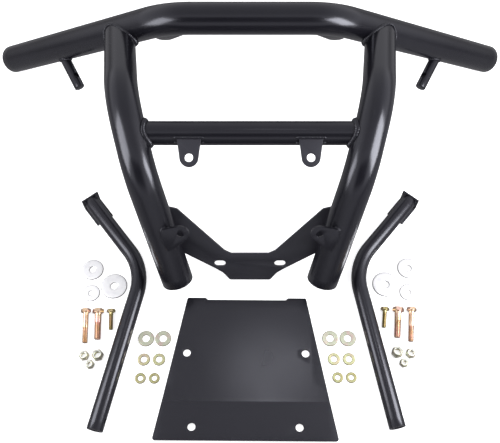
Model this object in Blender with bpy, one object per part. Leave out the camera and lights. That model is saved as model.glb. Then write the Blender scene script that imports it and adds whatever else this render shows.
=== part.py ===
"""Front grille guard kit for a small utility vehicle, laid out on a floor.

The kit is one welded guard (top rail with swept-back wings, two bowed uprights,
a crossbar, a slotted mounting plate and its ears), two bent brace tubes, a flat
skid plate and the loose bolts, lock nuts and washers.

The guard is designed upright, as it stands on the vehicle: +X to its left-hand
wing in the drawing sense (right on paper), +Y rearwards, +Z up, with the centre
of the straight top rail at X = Y = 0.  An empty then lays it back until the rear
edges of the wing ends and of the mounting plate touch the floor, z = 0.
"""

import math

import bpy
import bmesh
from mathutils import Matrix, Vector

MM = 0.001

# ------------------------------------------------------------------ tube stock
MAIN_R = 44.45 / 2        # 1 3/4 in rail and uprights
MAIN_WALL = 2.4
CROSS_R = 31.75 / 2       # 1 1/4 in crossbar
CROSS_WALL = 2.4
BRACE_R = 22.2 / 2        # 7/8 in braces, a slide fit over the stubs
BRACE_WALL = 3.0
STUB_R = 15.875 / 2       # 5/8 in bar stubs
GAP = 0.3                 # clearance left between two touching pieces
MAIN_SIDES, CROSS_SIDES, BRACE_SIDES, STUB_SIDES = 20, 16, 16, 12

# ------------------------------------------------------------------ guard sizes
RAIL_Z = 280.5            # height of the rail over the line of sight datum
RAIL_CORNER_X = 115.6     # virtual corner of each rail bend
RAIL_SWEEP = math.radians(38.6)
BEND_R = 100.0            # centreline radius of every main tube bend
WING_LENGTH = 369.4       # from the virtual corner to the wing's end
CAP_T = 2.0               # closing discs

# an upright's corners before bending, on the +X side: it meets the rail, turns vertical
# at the knee, turns back under at the shin and ends just below the mounting plate
UPRIGHT_TOP = (192.2, 63.5, 281.0)
UPRIGHT_KNEE = (167.8, -55.0, 161.0)
UPRIGHT_SHIN = (144.2, -55.0, 64.0)
UPRIGHT_END_X, UPRIGHT_END_Z = 103.4, -84.8
SHIN_SLOPE = 0.638        # rearward run per millimetre of drop below the lower bend

CROSSBAR_Y, CROSSBAR_Z = -52.0, 114.2

PLATE_T = 3.8             # mounting plate
EAR_T = 4.6               # all drilled ears
EAR_HOLE_R = 11.1 / 2     # 7/16 in holes
SLOT_L, SLOT_W = 16.6, 10.6

STUB_ROOT_X = 305.3       # where a stub's line meets the wing's axis
STUB_TIP = (268.8, 139.0, 213.0)
STUB_HOLE_R = 8.7 / 2

# ------------------------------------------------------------------ laying out
FLOOR_TILT = math.radians(26.453)   # between the rail-to-plate floor line and upright
LIFT = 99.75              # height of the guard's datum over the floor
SLIDE = 0.0               # slide of the guard's datum along the floor


def material(name, colour, roughness, metallic):
    found = bpy.data.materials.get(name)
    if found:
        return found
    made = bpy.data.materials.new(name)
    made.use_nodes = True
    shader = made.node_tree.nodes["Principled BSDF"]
    shader.inputs["Base Color"].default_value = (*colour, 1.0)
    shader.inputs["Roughness"].default_value = roughness
    shader.inputs["Metallic"].default_value = metallic
    return made


# ------------------------------------------------------------------ mesh helpers
def new_object(name, verts, faces, mat=None, parent=None, smooth=True):
    mesh = bpy.data.meshes.new(name)
    mesh.from_pydata([tuple(c * MM for c in v) for v in verts], [], faces)
    work = bmesh.new()
    work.from_mesh(mesh)
    bmesh.ops.recalc_face_normals(work, faces=work.faces)
    work.to_mesh(mesh)
    work.free()
    mesh.update()
    if smooth:
        mesh.shade_smooth()
        mesh.set_sharp_from_angle(angle=math.radians(35))
    thing = bpy.data.objects.new(name, mesh)
    bpy.context.scene.collection.objects.link(thing)
    if mat:
        mesh.materials.append(mat)
    thing.parent = parent
    return thing


def fillet_path(points, radius, step=8.0):
    """A polyline through the points with every inner corner rounded to the radius."""
    points = [Vector(p) for p in points]
    path = [points[0]]
    for before, corner, after in zip(points, points[1:], points[2:]):
        a, b = (before - corner).normalized(), (after - corner).normalized()
        turn = math.pi - a.angle(b)
        tangent = radius * math.tan(turn / 2)
        centre = corner + (a + b).normalized() * (radius / math.cos(turn / 2))
        start, end = corner + a * tangent, corner + b * tangent
        count = max(2, round(math.degrees(turn) / step))
        axis = (start - centre).cross(end - centre).normalized()
        for k in range(count + 1):
            path.append(centre + Matrix.Rotation(turn * k / count, 3, axis) @ (start - centre))
    path.append(points[-1])
    return path


def sweep_rings(path, radii, sides, first=(0, 0, 1)):
    """Rings of vertices along the path, carried round its bends without twisting."""
    path = [Vector(p) for p in path]
    ways = []
    for i in range(len(path)):
        back = path[i] - path[i - 1] if i else path[1] - path[0]
        ahead = path[i + 1] - path[i] if i + 1 < len(path) else back
        ways.append((back.normalized() + ahead.normalized()).normalized())
    up = Vector(first)
    up = (up - up.dot(ways[0]) * ways[0]).normalized()
    sets = [[] for _ in radii]
    for i, way in enumerate(ways):
        if i:
            up = ways[i - 1].rotation_difference(way) @ up
            up = (up - up.dot(way) * way).normalized()
        side = way.cross(up)
        for which, r in enumerate(radii):
            sets[which].append([path[i] + r * (math.cos(t) * up + math.sin(t) * side)
                                for t in (2 * math.pi * (k + 0.5) / sides for k in range(sides))])
    return sets


def strips(rings, verts, faces, flip=False):
    """Adds rings and the quads between them, and returns the first and last ring's indices."""
    base, sides = len(verts), len(rings[0])
    for ring in rings:
        verts.extend(ring)
    for i in range(len(rings) - 1):
        for k in range(sides):
            n = (k + 1) % sides
            quad = (base + i * sides + k, base + i * sides + n,
                    base + (i + 1) * sides + n, base + (i + 1) * sides + k)
            faces.append(quad[::-1] if flip else quad)
    last = base + (len(rings) - 1) * sides
    return list(range(base, base + sides)), list(range(last, last + sides))


def tube(name, path, r_out, wall, sides, mat=None, parent=None, first=(0, 0, 1)):
    """An open tube along the path, or a solid bar where wall is None."""
    verts, faces = [], []
    if wall is None:
        (outer,) = sweep_rings(path, [r_out], sides, first)
        start, end = strips(outer, verts, faces)
        faces += [tuple(start[::-1]), tuple(end)]
    else:
        outer, inner = sweep_rings(path, [r_out, r_out - wall], sides, first)
        o0, o1 = strips(outer, verts, faces)
        i0, i1 = strips(inner, verts, faces, flip=True)
        for a, b in ((o0, i0), (i1, o1)):
            for k in range(sides):
                n = (k + 1) % sides
                faces.append((a[k], b[k], b[n], a[n]))
    return new_object(name, verts, faces, mat, parent)


def turned(name, profile, sides, mat=None, parent=None, hexed=()):
    """A closed profile of (radius, height) turned about Z.  A radius of 0 starts or ends
    the profile on the axis.  Rows listed in hexed are hexagons of that flat-to-flat radius."""
    verts, faces, rows = [], [], []
    for row, (r, h) in enumerate(profile):
        if r == 0:
            rows.append([len(verts)])
            verts.append((0.0, 0.0, h))
            continue
        ring = []
        for k in range(sides):
            t = 2 * math.pi * (k + 0.5) / sides
            reach = r
            if row in hexed:
                reach = r / math.cos((t % (math.pi / 3)) - math.pi / 6)
            ring.append(len(verts))
            verts.append((reach * math.cos(t), reach * math.sin(t), h))
        rows.append(ring)
    closed = profile[0][0] != 0
    pairs = list(zip(rows, rows[1:])) + ([(rows[-1], rows[0])] if closed else [])
    for low, high in pairs:
        for k in range(sides):
            n = (k + 1) % sides
            if len(low) == 1:
                faces.append((low[0], high[k], high[n]))
            elif len(high) == 1:
                faces.append((low[k], high[0], low[n]))
            else:
                faces.append((low[k], low[n], high[n], high[k]))
    return new_object(name, verts, faces, mat, parent)


def rounded(points, radii, steps=5):
    """A 2D outline with each corner rounded to its radius."""
    outline = []
    count = len(points)
    for i in range(count):
        before, corner, after = (Vector((*points[(i + d) % count], 0)) for d in (-1, 0, 1))
        r = radii[i] if isinstance(radii, (list, tuple)) else radii
        if r <= 0:
            outline.append((corner.x, corner.y))
            continue
        a, b = (before - corner).normalized(), (after - corner).normalized()
        turn = math.pi - a.angle(b)
        centre = corner + (a + b).normalized() * (r / math.cos(turn / 2))
        start = corner + a * r * math.tan(turn / 2) - centre
        spin = math.copysign(1, start.cross(corner + b * r * math.tan(turn / 2) - centre).z)
        for k in range(steps + 1):
            p = centre + Matrix.Rotation(spin * turn * k / steps, 3, "Z") @ start
            outline.append((p.x, p.y))
    return outline


def plate(name, outline, thickness, frame, mat=None, parent=None):
    """A flat plate: a 2D outline in the frame's XY plane, thick along its +Z."""
    verts, faces = [], []
    for h in (0.0, thickness):
        verts += [frame @ Vector((x, y, h)) for x, y in outline]
    n = len(outline)
    faces = [tuple(range(n))[::-1], tuple(range(n, 2 * n))]
    faces += [(k, (k + 1) % n, n + (k + 1) % n, n + k) for k in range(n)]
    return new_object(name, verts, faces, mat, parent, smooth=False)


def frame_of(origin, x_axis, y_hint):
    """A frame at the origin with its X along x_axis and its Y towards y_hint."""
    x = Vector(x_axis).normalized()
    z = x.cross(Vector(y_hint)).normalized()
    y = z.cross(x)
    m = Matrix((x, y, z)).transposed().to_4x4()
    m.translation = Vector(origin)
    return m


CUTTERS = []


def guide(thing):
    """Marks an object as a cutter, which isn't a piece of the kit."""
    thing.hide_render = True
    thing.display_type = "WIRE"
    CUTTERS.append(thing)
    return thing


def drill(name, centre, axis, radius, reach, parent=None, sides=16, slot=0.0, along=(1, 0, 0)):
    """A cutter for a round hole, or for a slot that is `slot` longer than it is wide."""
    axis, along = Vector(axis).normalized(), Vector(along)
    along = (along - along.dot(axis) * axis).normalized() if along.cross(axis).length > 1e-6 else axis.orthogonal().normalized()
    across = axis.cross(along)
    outline = []
    for k in range(sides):
        t = 2 * math.pi * (k + 0.5) / sides
        shift = math.copysign(slot / 2, math.cos(t))
        outline.append(along * (radius * math.cos(t) + shift) + across * radius * math.sin(t))
    verts = [Vector(centre) + axis * h + p for h in (-reach, reach) for p in outline]
    faces = [tuple(range(sides))[::-1], tuple(range(sides, 2 * sides))]
    faces += [(k, (k + 1) % sides, sides + (k + 1) % sides, sides + k) for k in range(sides)]
    return guide(new_object(name, verts, faces, None, parent, smooth=False))


def cut(thing, cutter):
    """Takes the cutter away from the piece."""
    step = thing.modifiers.new("cut_" + cutter.name, "BOOLEAN")
    step.operation = "DIFFERENCE"
    step.solver = "EXACT"
    step.object = cutter


def empty(name, matrix):
    node = bpy.data.objects.new(name, None)
    bpy.context.scene.collection.objects.link(node)
    matrix = matrix.copy()
    matrix.translation = matrix.translation * MM
    node.matrix_world = matrix
    return node


# ------------------------------------------------------------------ the guard
def build_guard(black):
    lay = Matrix.Rotation(-(math.pi / 2 - FLOOR_TILT), 4, "X")
    lay.translation = Vector((0, SLIDE, LIFT))
    stand = empty("guard_stand", lay)

    # top rail
    corner = RAIL_CORNER_X
    wing_way = Vector((math.cos(RAIL_SWEEP), math.sin(RAIL_SWEEP), 0))
    wing_end = Vector((corner, 0, RAIL_Z)) + wing_way * WING_LENGTH
    mirror = lambda p, s: Vector((p[0] * s, p[1], p[2]))
    short = wing_end - wing_way * (CAP_T + GAP)
    rail_points = [mirror(short, -1), (-corner, 0, RAIL_Z), (corner, 0, RAIL_Z), short]
    rail_path = fillet_path(rail_points, BEND_R)
    tube("top_rail", rail_path, MAIN_R, MAIN_WALL, MAIN_SIDES, black, stand)
    rail_cut = guide(tube("rail_envelope", rail_path, MAIN_R + GAP, None, MAIN_SIDES, None, stand))

    # uprights, as seen on the +X side
    top, knee, shin = Vector(UPRIGHT_TOP), Vector(UPRIGHT_KNEE), Vector(UPRIGHT_SHIN)
    end = Vector((UPRIGHT_END_X, shin.y + SHIN_SLOPE * (shin.z - UPRIGHT_END_Z), UPRIGHT_END_Z))
    top = top - (top - knee).normalized() * 4.0        # the cope's back horn ends at the rail's side
    shin_way = (end - shin).normalized()
    shin_end = end - shin_way * (CAP_T + GAP)

    cross_cut = guide(tube("crossbar_envelope", [(-150, CROSSBAR_Y, CROSSBAR_Z), (150, CROSSBAR_Y, CROSSBAR_Z)],
                           CROSS_R + GAP, None, CROSS_SIDES, None, stand))
    crossbar = tube("crossbar", [(-152, CROSSBAR_Y, CROSSBAR_Z), (152, CROSSBAR_Y, CROSSBAR_Z)],
                    CROSS_R, CROSS_WALL, CROSS_SIDES, black, stand)

    # mounting plate, flat against the backs of the two shins
    run = Vector((0, SHIN_SLOPE, -1)).normalized()      # down the plate
    back = Vector((0, 1, SHIN_SLOPE)).normalized()      # out of its rear face
    face = Vector((0, shin.y, shin.z)) + back * (MAIN_R + GAP)
    # outline: X across, Y down the plate; level gives that Y from a height
    level = lambda z: (face.z - z) * math.sqrt(1 + SHIN_SLOPE ** 2)
    half = [
        (29.5, level(-85.0)), (39.0, level(-74.5)), (49.0, level(-68.5)), (118.0, level(-33.0)),
        (131.0, level(3.0)), (117.0, level(20.0)), (101.0, level(16.5)), (36.0, level(-42.5)), (27.0, level(-46.5)),
    ]
    radii = [4, 10, 10, 6, 10, 5, 7, 10, 2]
    outline = rounded(half + [(-x, y) for x, y in half[::-1]], radii + radii[::-1], steps=3)
    lie = frame_of(face, (1, 0, 0), run)
    if (lie.to_3x3() @ Vector((0, 0, 1))).dot(back) < 0:
        lie = frame_of(face, (-1, 0, 0), run)
    mount_plate = plate("mount_plate", outline, PLATE_T, lie, black, stand)
    for side, s in (("left", -1), ("right", 1)):
        where = Vector((s * 43.4, 0, 0)) + face + run * level(-60.7)
        cut(mount_plate, drill(f"slot_cutter_{side}", where, back, SLOT_W / 2, 20, stand,
                               slot=SLOT_L - SLOT_W, along=(1, 0, 0)))

    for side, s in (("left", -1), ("right", 1)):
        # wing end cap
        tube(f"rail_end_cap_{side}", [mirror(wing_end - wing_way * CAP_T, s), mirror(wing_end, s)],
             MAIN_R, None, MAIN_SIDES, black, stand)
        # upright and its cap
        points = [mirror(p, s) for p in (top, knee, shin, shin_end)]
        path = fillet_path(points, BEND_R)
        front = Vector((0, -1, 0))
        upright = tube(f"upright_{side}", path, MAIN_R, MAIN_WALL, MAIN_SIDES, black, stand, first=front)
        cut(upright, rail_cut)
        envelope = guide(tube(f"upright_envelope_{side}", path, MAIN_R + GAP, None, MAIN_SIDES, None, stand, first=front))
        cut(crossbar, envelope)
        way = mirror(shin_way, s)
        tube(f"upright_end_cap_{side}", [mirror(end, s) - way * CAP_T, mirror(end, s)],
             MAIN_R, None, MAIN_SIDES, black, stand, first=front)

        # ear under the crossbar: tapered sides, round tip, one hole
        tip_z = 80.9
        shape = ear_outline(half_root=15.5, tip_r=12.2, drop=24.0)
        ear_face = frame_of((s * 78.7, CROSSBAR_Y - 9.6, tip_z), (1, 0, 0), (0, 0, 1))
        ear = plate(f"crossbar_tab_{side}", shape, EAR_T, ear_face, black, stand)
        cut(ear, cross_cut)
        cut(ear, drill(f"crossbar_tab_drill_{side}", (s * 78.7, CROSSBAR_Y - 12, tip_z), (0, 1, 0), EAR_HOLE_R, 20, stand))

        # ear on the front of the shin, pointing inwards
        inward = mirror(Vector((-1, 0, 0)), s)
        inward = (inward - inward.dot(way) * way).normalized()
        front_way = way.cross(inward)
        if front_way.y > 0:
            front_way = -front_way
        root = mirror(shin, s) + way * ((shin.z + 11.5) / -shin_way.z)
        # outline: x inwards from the tube's axis, y down along the tube
        dome = [(31.4 + 12.2 * math.cos(t), -0.5 + 12.2 * math.sin(t))
                for t in (math.radians(a) for a in range(-96, 51, 14))]
        shape = [(4.5, 2.0), (7.5, -10.0), (11.0, -12.6)] + dome + [(16.0, 20.0), (8.5, 21.5)]
        ear_face = frame_of(root + front_way * 20.4, inward, way)
        if (ear_face.to_3x3() @ Vector((0, 0, 1))).dot(front_way) < 0:
            ear_face = ear_face @ Matrix.Translation((0, 0, -EAR_T + 0.6))
        ear = plate(f"upright_tab_{side}", shape, EAR_T - 0.6, ear_face, black, stand)
        cut(ear, envelope)
        cut(ear, drill(f"upright_tab_drill_{side}", root + front_way * 22 + inward * 31.4 - way * 0.5,
                       front_way, 9.5 / 2, 20, stand))

        # ear under the rail's bend, pointing rearwards and a little outwards
        shape = ear_outline(half_root=15.5, tip_r=12.2, drop=34.0)
        root_way = Vector((-s * 0.57, -0.82, 0))
        tip = Vector((s * 122.0, 31.3, RAIL_Z - 14.0))
        ear_face = frame_of(tip, root_way.cross(Vector((0, 0, -1))), root_way)
        if (ear_face.to_3x3() @ Vector((0, 0, 1))).z > 0:
            ear_face = ear_face @ Matrix.Translation((0, 0, -EAR_T))
        ear = plate(f"rail_tab_{side}", shape, EAR_T, ear_face, black, stand)
        cut(ear, rail_cut)

        # stub under the wing, cross-drilled for a brace bolt
        along = (STUB_ROOT_X - corner) / math.cos(RAIL_SWEEP)
        stub_root = mirror(Vector((corner, 0, RAIL_Z)) + wing_way * along, s)
        stub_tip = mirror(Vector(STUB_TIP), s)
        down = (stub_tip - stub_root).normalized()
        stub = tube(f"wing_stub_{side}", [stub_root, stub_tip - down * 1.2, stub_tip], STUB_R, None, STUB_SIDES, black, stand)
        cut(stub, rail_cut)
        aim = (inward * 0.75 + Vector((0, -0.66, 0)))
        aim = (aim - aim.dot(down) * down).normalized()
        cut(stub, drill(f"stub_drill_{side}", stub_tip - down * 19.0, aim, STUB_HOLE_R, 20, stand, sides=12))


def ear_outline(half_root, tip_r, drop):
    """An ear hanging from y = +drop to its round tip about the origin, sides tapering in."""
    lean = math.asin((half_root - tip_r) / drop)
    arc = [math.radians(180) + lean + (math.pi - 2 * lean) * k / 8 for k in range(9)]
    tip = [(tip_r * math.cos(t), tip_r * math.sin(t)) for t in arc]
    return tip + [(half_root, drop), (-half_root, drop)]


# ------------------------------------------------------------------ the braces
BRACE_TURN = math.radians(50.2)
BRACE_BEND_R = 80.0
BRACE_LOWER, BRACE_UPPER = 234.4, 143.5
BRACE_HOLE_R = 8.7 / 2
BRACKET_T = 3.0           # folded bracket on the upper end
BRACKET_FLANGE = 34.0
BRACKET_OUTER, BRACKET_INNER = 13.2, 15.0


def build_brace(side, s, corner, heading, black):
    """A brace lying on the floor: origin at the bend's corner, lower leg down local -Y,
    upper leg turned out by BRACE_TURN, lifted a little at that end by its bracket."""
    tilt = 0.0110
    place = (Matrix.Translation(Vector((*corner, 0))) @ Matrix.Rotation(heading, 4, "Z")
             @ Matrix.Translation((0, -BRACE_LOWER, 0)) @ Matrix.Rotation(tilt, 4, "X") @ Matrix.Translation((0, BRACE_LOWER, 0)))
    stand = empty(f"brace_stand_{side}", place)
    rise = BRACE_R + 0.05
    upper = Vector((s * math.sin(BRACE_TURN), math.cos(BRACE_TURN), 0))
    tip = Vector((0, 0, rise)) + upper * BRACE_UPPER
    path = fillet_path([(0, -BRACE_LOWER, rise), (0, 0, rise), tip], BRACE_BEND_R)
    body = tube(f"brace_tube_{side}", path, BRACE_R, BRACE_WALL, BRACE_SIDES, black, stand)

    # a folded bracket closes the upper end and runs back under the tube
    inward = Vector((upper.y, -upper.x, 0)) * -s         # towards the guard
    reach, low = GAP + BRACKET_T, -BRACE_R - GAP
    profile = [(reach, BRACE_R), (GAP, BRACE_R), (GAP, low), (-BRACKET_FLANGE, low),
               (-BRACKET_FLANGE, low - BRACKET_T), (reach, low - BRACKET_T)]
    lie = frame_of(tip, upper, (0, 0, 1))
    across = (lie.to_3x3() @ Vector((0, 0, 1))).dot(inward)
    start = -BRACKET_OUTER if across > 0 else -BRACKET_INNER
    bracket = plate(f"brace_bracket_{side}", profile, BRACKET_OUTER + BRACKET_INNER,
                    lie @ Matrix.Translation((0, 0, start)), black, stand)
    # its far outer corner is rounded
    r, w = 6.0, -BRACKET_OUTER
    corner = [(-BRACKET_FLANGE - 2, w - 2), (-BRACKET_FLANGE - 2, w + r)]
    corner += [(-BRACKET_FLANGE + r - r * math.cos(t), w + r - r * math.sin(t)) for t in (math.pi / 8 * k for k in range(5))]
    corner += [(-BRACKET_FLANGE + r, w - 2)]
    flat = frame_of(tip, upper, inward)
    # past the end wall the flange keeps to the tube on the inner side; its outer lip starts half-way
    inner = [(-BRACKET_FLANGE - 2, 9.5), (-8.0, 9.5), (0.5, 17.0), (-BRACKET_FLANGE - 2, 17.0)]
    outer = [(5.0, -11.3), (-15.0, -11.3), (-18.6, -15.2), (5.0, -15.2)]
    for trim, line in (("corner", corner), ("inner", inner), ("outer", outer)):
        cut(bracket, guide(plate(f"{trim}_cutter_{side}", line, 60, flat @ Matrix.Translation((0, 0, -30)), None, stand)))
    # cross hole for the stub's bolt
    cut(body, drill(f"brace_drill_{side}", (0, -BRACE_LOWER + 14.0, rise), (1, 0, 0), BRACE_HOLE_R, 20, stand, sides=12))


# ------------------------------------------------------------------ skid plate
SKID_TOP, SKID_BOTTOM, SKID_LENGTH = 171.6, 247.6, 201.0
SKID_T = 3.0
SKID_FOLD = 52.0          # width of the folded-up lower border
SKID_FOLD_ANGLE = math.radians(2.5)
SKID_EAR, SKID_NOTCH = 26.5, 3.0
SKID_HOLE_R = 10.7 / 2


def build_skid_plate(black):
    place = Matrix.Translation((-4.6, -75.5, 0)) @ Matrix.Rotation(math.radians(-0.42), 4, "Z")
    stand = empty("skid_stand", place)
    wide = lambda y: SKID_TOP / 2 + (SKID_BOTTOM - SKID_TOP) / 2 * y / SKID_LENGTH
    fold_y = SKID_LENGTH - SKID_FOLD
    flat = [(-wide(0), 0), (-wide(0) + SKID_EAR, 0), (-wide(0) + SKID_EAR + 2.0, SKID_NOTCH),
            (wide(0) - SKID_EAR - 2.0, SKID_NOTCH), (wide(0) - SKID_EAR, 0), (wide(0), 0),
            (wide(fold_y), fold_y)]
    run, climb = SKID_FOLD * math.cos(SKID_FOLD_ANGLE), SKID_FOLD * math.sin(SKID_FOLD_ANGLE)
    verts, n = [], len(flat)
    tuck = SKID_T * math.tan(SKID_FOLD_ANGLE / 2)
    lean, rise = SKID_T * math.sin(SKID_FOLD_ANGLE), SKID_T * math.cos(SKID_FOLD_ANGLE)
    for h in (0.0, SKID_T):
        verts += [(x, -y, h) for x, y in flat[:-1]]
        inset = tuck if h else 0.0
        verts += [(wide(fold_y), -fold_y + inset, h), (wide(SKID_LENGTH), -fold_y - run + (lean if h else 0), climb + (rise if h else 0)),
                  (-wide(SKID_LENGTH), -fold_y - run + (lean if h else 0), climb + (rise if h else 0)), (-wide(fold_y), -fold_y + inset, h)]
    count = len(verts) // 2
    a, b, c, d = n - 1, n, n + 1, n + 2
    faces = [tuple(range(n)) + (d,), (a, b, c, d)]
    faces = [f[::-1] for f in faces] + [tuple(i + count for i in f) for f in faces]
    faces += [(k, (k + 1) % count, count + (k + 1) % count, count + k) for k in range(count)]
    skid = new_object("skid_plate", verts, faces, black, stand, smooth=False)
    for side, s in (("left", -1), ("right", 1)):
        cut(skid, drill(f"skid_drill_upper_{side}", (s * 83.0, -82.0, 0), (0, 0, 1), SKID_HOLE_R, 20, stand))
        down = 183.5 - fold_y
        centre = (s * 72.0, -fold_y - down * math.cos(SKID_FOLD_ANGLE), down * math.sin(SKID_FOLD_ANGLE))
        axis = (0, math.sin(SKID_FOLD_ANGLE), math.cos(SKID_FOLD_ANGLE))
        cut(skid, drill(f"skid_drill_lower_{side}", centre, axis, SKID_HOLE_R, 20, stand))


# ------------------------------------------------------------------ hardware
# size: shank radius, hex half across flats, head height, bolt length, nut height
SIZES = {
    "3_8": (9.525 / 2, 14.29 / 2, 6.0, 38.1, 11.0),
    "5_16": (7.94 / 2, 12.7 / 2, 5.3, 44.45, 8.7),
    "1_4": (6.35 / 2, 11.11 / 2, 4.2, 25.4, 7.9),
}
# size: outer radius, hole radius, thickness
FENDER = {"3_8": (19.05, 5.2, 1.8), "5_16": (15.9, 4.5, 1.6), "1_4": (12.7, 3.6, 1.3)}
FLAT = {"3_8": (11.3, 5.2, 1.7), "5_16": (8.75, 4.3, 1.6), "1_4": (7.6, 3.5, 1.4)}


def bolt(name, size, x, y, heading, zinc):
    """Lies with a flat of its head and the tip of its shank on the floor, its head up +Y."""
    r, flat, head, length, _ = SIZES[size]
    bevel = 0.9
    profile = [(0, -length), (r * 0.8, -length), (r, -length + bevel), (r, 0), (flat, 0),
               (flat, head - 0.5 * bevel), (flat * 0.93, head), (0, head)]
    piece = turned(name, profile, 12, zinc, None, hexed=(4, 5))
    dip = math.atan2(flat - r, length)
    # local +Z, the head's way, turns to lie along +Y, raised by the dip
    piece.matrix_world = (Matrix.Translation(Vector((x, y, flat + 0.1)) * MM) @ Matrix.Rotation(heading, 4, "Z")
                          @ Matrix.Rotation(-(math.pi / 2 - dip), 4, "X"))
    return piece


def lock_nut(name, size, x, y, zinc, nylon):
    r, flat, _, _, height = SIZES[size]
    body = height * 0.68
    seat, inner = height * 0.70, flat * 0.80
    profile = [(r, 0), (flat * 0.95, 0), (flat, 0.6), (flat, body - 0.4), (flat * 0.9, body), (flat * 0.9, height),
               (inner, height), (inner, seat), (r, seat)]
    piece = turned(name, profile, 12, zinc, None, hexed=(2, 3))
    piece.location = Vector((x, y, 0)) * MM
    piece.rotation_euler.z = math.radians(12)
    ring = turned(name.replace("lock_nut", "nut_insert"),
                  [(r * 0.94, seat + GAP), (inner - GAP, seat + GAP), (inner - GAP, height - 0.4), (r * 0.94, height - 0.4)],
                  12, nylon, None)
    ring.location = piece.location
    ring.rotation_euler.z = piece.rotation_euler.z


def washer(name, outer, hole, thick, x, y, zinc):
    piece = turned(name, [(hole, 0), (outer, 0), (outer, thick), (hole, thick)], 16, zinc, None)
    piece.location = Vector((x, y, 0)) * MM
    return piece


def build_hardware(yellow, bright, nylon):
    """Each side's loose hardware: a row of bolts, a triangle of fender washers above it,
    a triangle of lock nuts below it and three rows of flat washers inside the brace."""
    # the two sides hold the same pieces in slightly different places
    sides = {
        "left": {
            "bolt": {"5_16": (-235, -96.3, 3.7), "3_8": (-217, -97.2, 3.4), "1_4": (-199, -96.2, 3.3)},
            "lock_nut": {"5_16": (-231.5, -161), "3_8": (-212.3, -160.7), "1_4": (-222, -173.7)},
            "fender": {"5_16": (-233.3, -30), "3_8": (-199.2, -56.2), "1_4": (-231.7, -67)},
            "flat": {"3_8": (-146.9, -122.8, -135.8), "5_16": (-148, -126.8, -166), "1_4": (-151, -131.8, -192.4)},
        },
        "right": {
            "bolt": {"5_16": (231.6, -94.3, -6.7), "3_8": (212, -94.7, -6.5), "1_4": (193.4, -93.2, -6.8)},
            "lock_nut": {"5_16": (224.6, -158), "3_8": (205.7, -156.5), "1_4": (213.6, -171.6)},
            "fender": {"5_16": (234.6, -27.6), "3_8": (198.7, -53.3), "1_4": (231.0, -65.6)},
            "flat": {"3_8": (113.3, 138.2, -135.7), "5_16": (117, 138, -165.5), "1_4": (121, 139.6, -191.4)},
        },
    }
    for side, kinds in sides.items():
        for size, (x, y, turn) in kinds["bolt"].items():
            # the row's y is the middle of each head
            bolt(f"bolt_{size}_{side}", size, x, y - SIZES[size][2] / 2, math.radians(turn), yellow)
        for size, (x, y) in kinds["lock_nut"].items():
            lock_nut(f"lock_nut_{size}_{side}", size, x, y, yellow, nylon)
        for size, (x, y) in kinds["fender"].items():
            washer(f"fender_washer_{size}_{side}", *FENDER[size], x, y, bright)
        for size, (x_outer, x_inner, y) in kinds["flat"].items():
            for place, x in (("a", x_outer), ("b", x_inner)):
                washer(f"flat_washer_{size}_{side}_{place}", *FLAT[size], x, y, yellow)


def main():
    for thing in list(bpy.data.objects):
        bpy.data.objects.remove(thing, do_unlink=True)
    black = material("black_powder_coat", (0.022, 0.023, 0.026), 0.42, 0.0)
    yellow = material("yellow_zinc", (0.62, 0.50, 0.27), 0.35, 1.0)
    bright = material("bright_zinc", (0.78, 0.79, 0.80), 0.35, 1.0)
    nylon = material("nylon", (0.75, 0.77, 0.72), 0.5, 0.0)
    build_guard(black)
    build_brace("left", -1, (-155.3, -35.2), math.radians(-12.2), black)
    build_brace("right", 1, (152.9, -30.4), math.radians(10.3), black)
    build_skid_plate(black)
    build_hardware(yellow, bright, nylon)

    # centre the whole layout on the origin, front to back
    bpy.context.view_layer.update()
    drawn = bpy.context.evaluated_depsgraph_get()
    reach = [(piece.matrix_world @ vertex.co).y for piece in bpy.data.objects
             if piece.type == "MESH" and not piece.hide_render for vertex in piece.evaluated_get(drawn).data.vertices]
    back = Matrix.Translation((0, -(min(reach) + max(reach)) / 2, 0))
    for piece in list(bpy.data.objects):
        if piece.parent is None:
            piece.matrix_world = back @ piece.matrix_world
    bpy.context.view_layer.update()


main()
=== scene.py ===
"""Looks for the front grille guard kit: smooth tube work with its welds, plates with worked
edges, threaded hardware, powder coat and zinc plating, on a white floor in soft light."""

import math

import bmesh
import bpy
import numpy as np
from mathutils import Matrix, Vector, noise
from mathutils.bvhtree import BVHTree


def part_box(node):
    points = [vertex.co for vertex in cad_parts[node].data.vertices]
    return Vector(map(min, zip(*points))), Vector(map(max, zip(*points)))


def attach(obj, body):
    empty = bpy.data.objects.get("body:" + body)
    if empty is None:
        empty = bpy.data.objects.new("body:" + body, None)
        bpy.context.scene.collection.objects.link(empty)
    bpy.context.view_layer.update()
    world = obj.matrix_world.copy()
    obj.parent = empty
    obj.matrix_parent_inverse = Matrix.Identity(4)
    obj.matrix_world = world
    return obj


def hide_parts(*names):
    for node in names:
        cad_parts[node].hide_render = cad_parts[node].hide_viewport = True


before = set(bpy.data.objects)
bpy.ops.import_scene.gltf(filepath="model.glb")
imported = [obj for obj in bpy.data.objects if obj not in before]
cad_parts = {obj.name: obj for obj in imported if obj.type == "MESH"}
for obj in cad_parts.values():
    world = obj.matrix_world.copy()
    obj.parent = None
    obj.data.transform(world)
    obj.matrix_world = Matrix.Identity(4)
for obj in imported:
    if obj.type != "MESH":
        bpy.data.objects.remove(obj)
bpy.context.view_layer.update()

MM = 0.001

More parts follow.
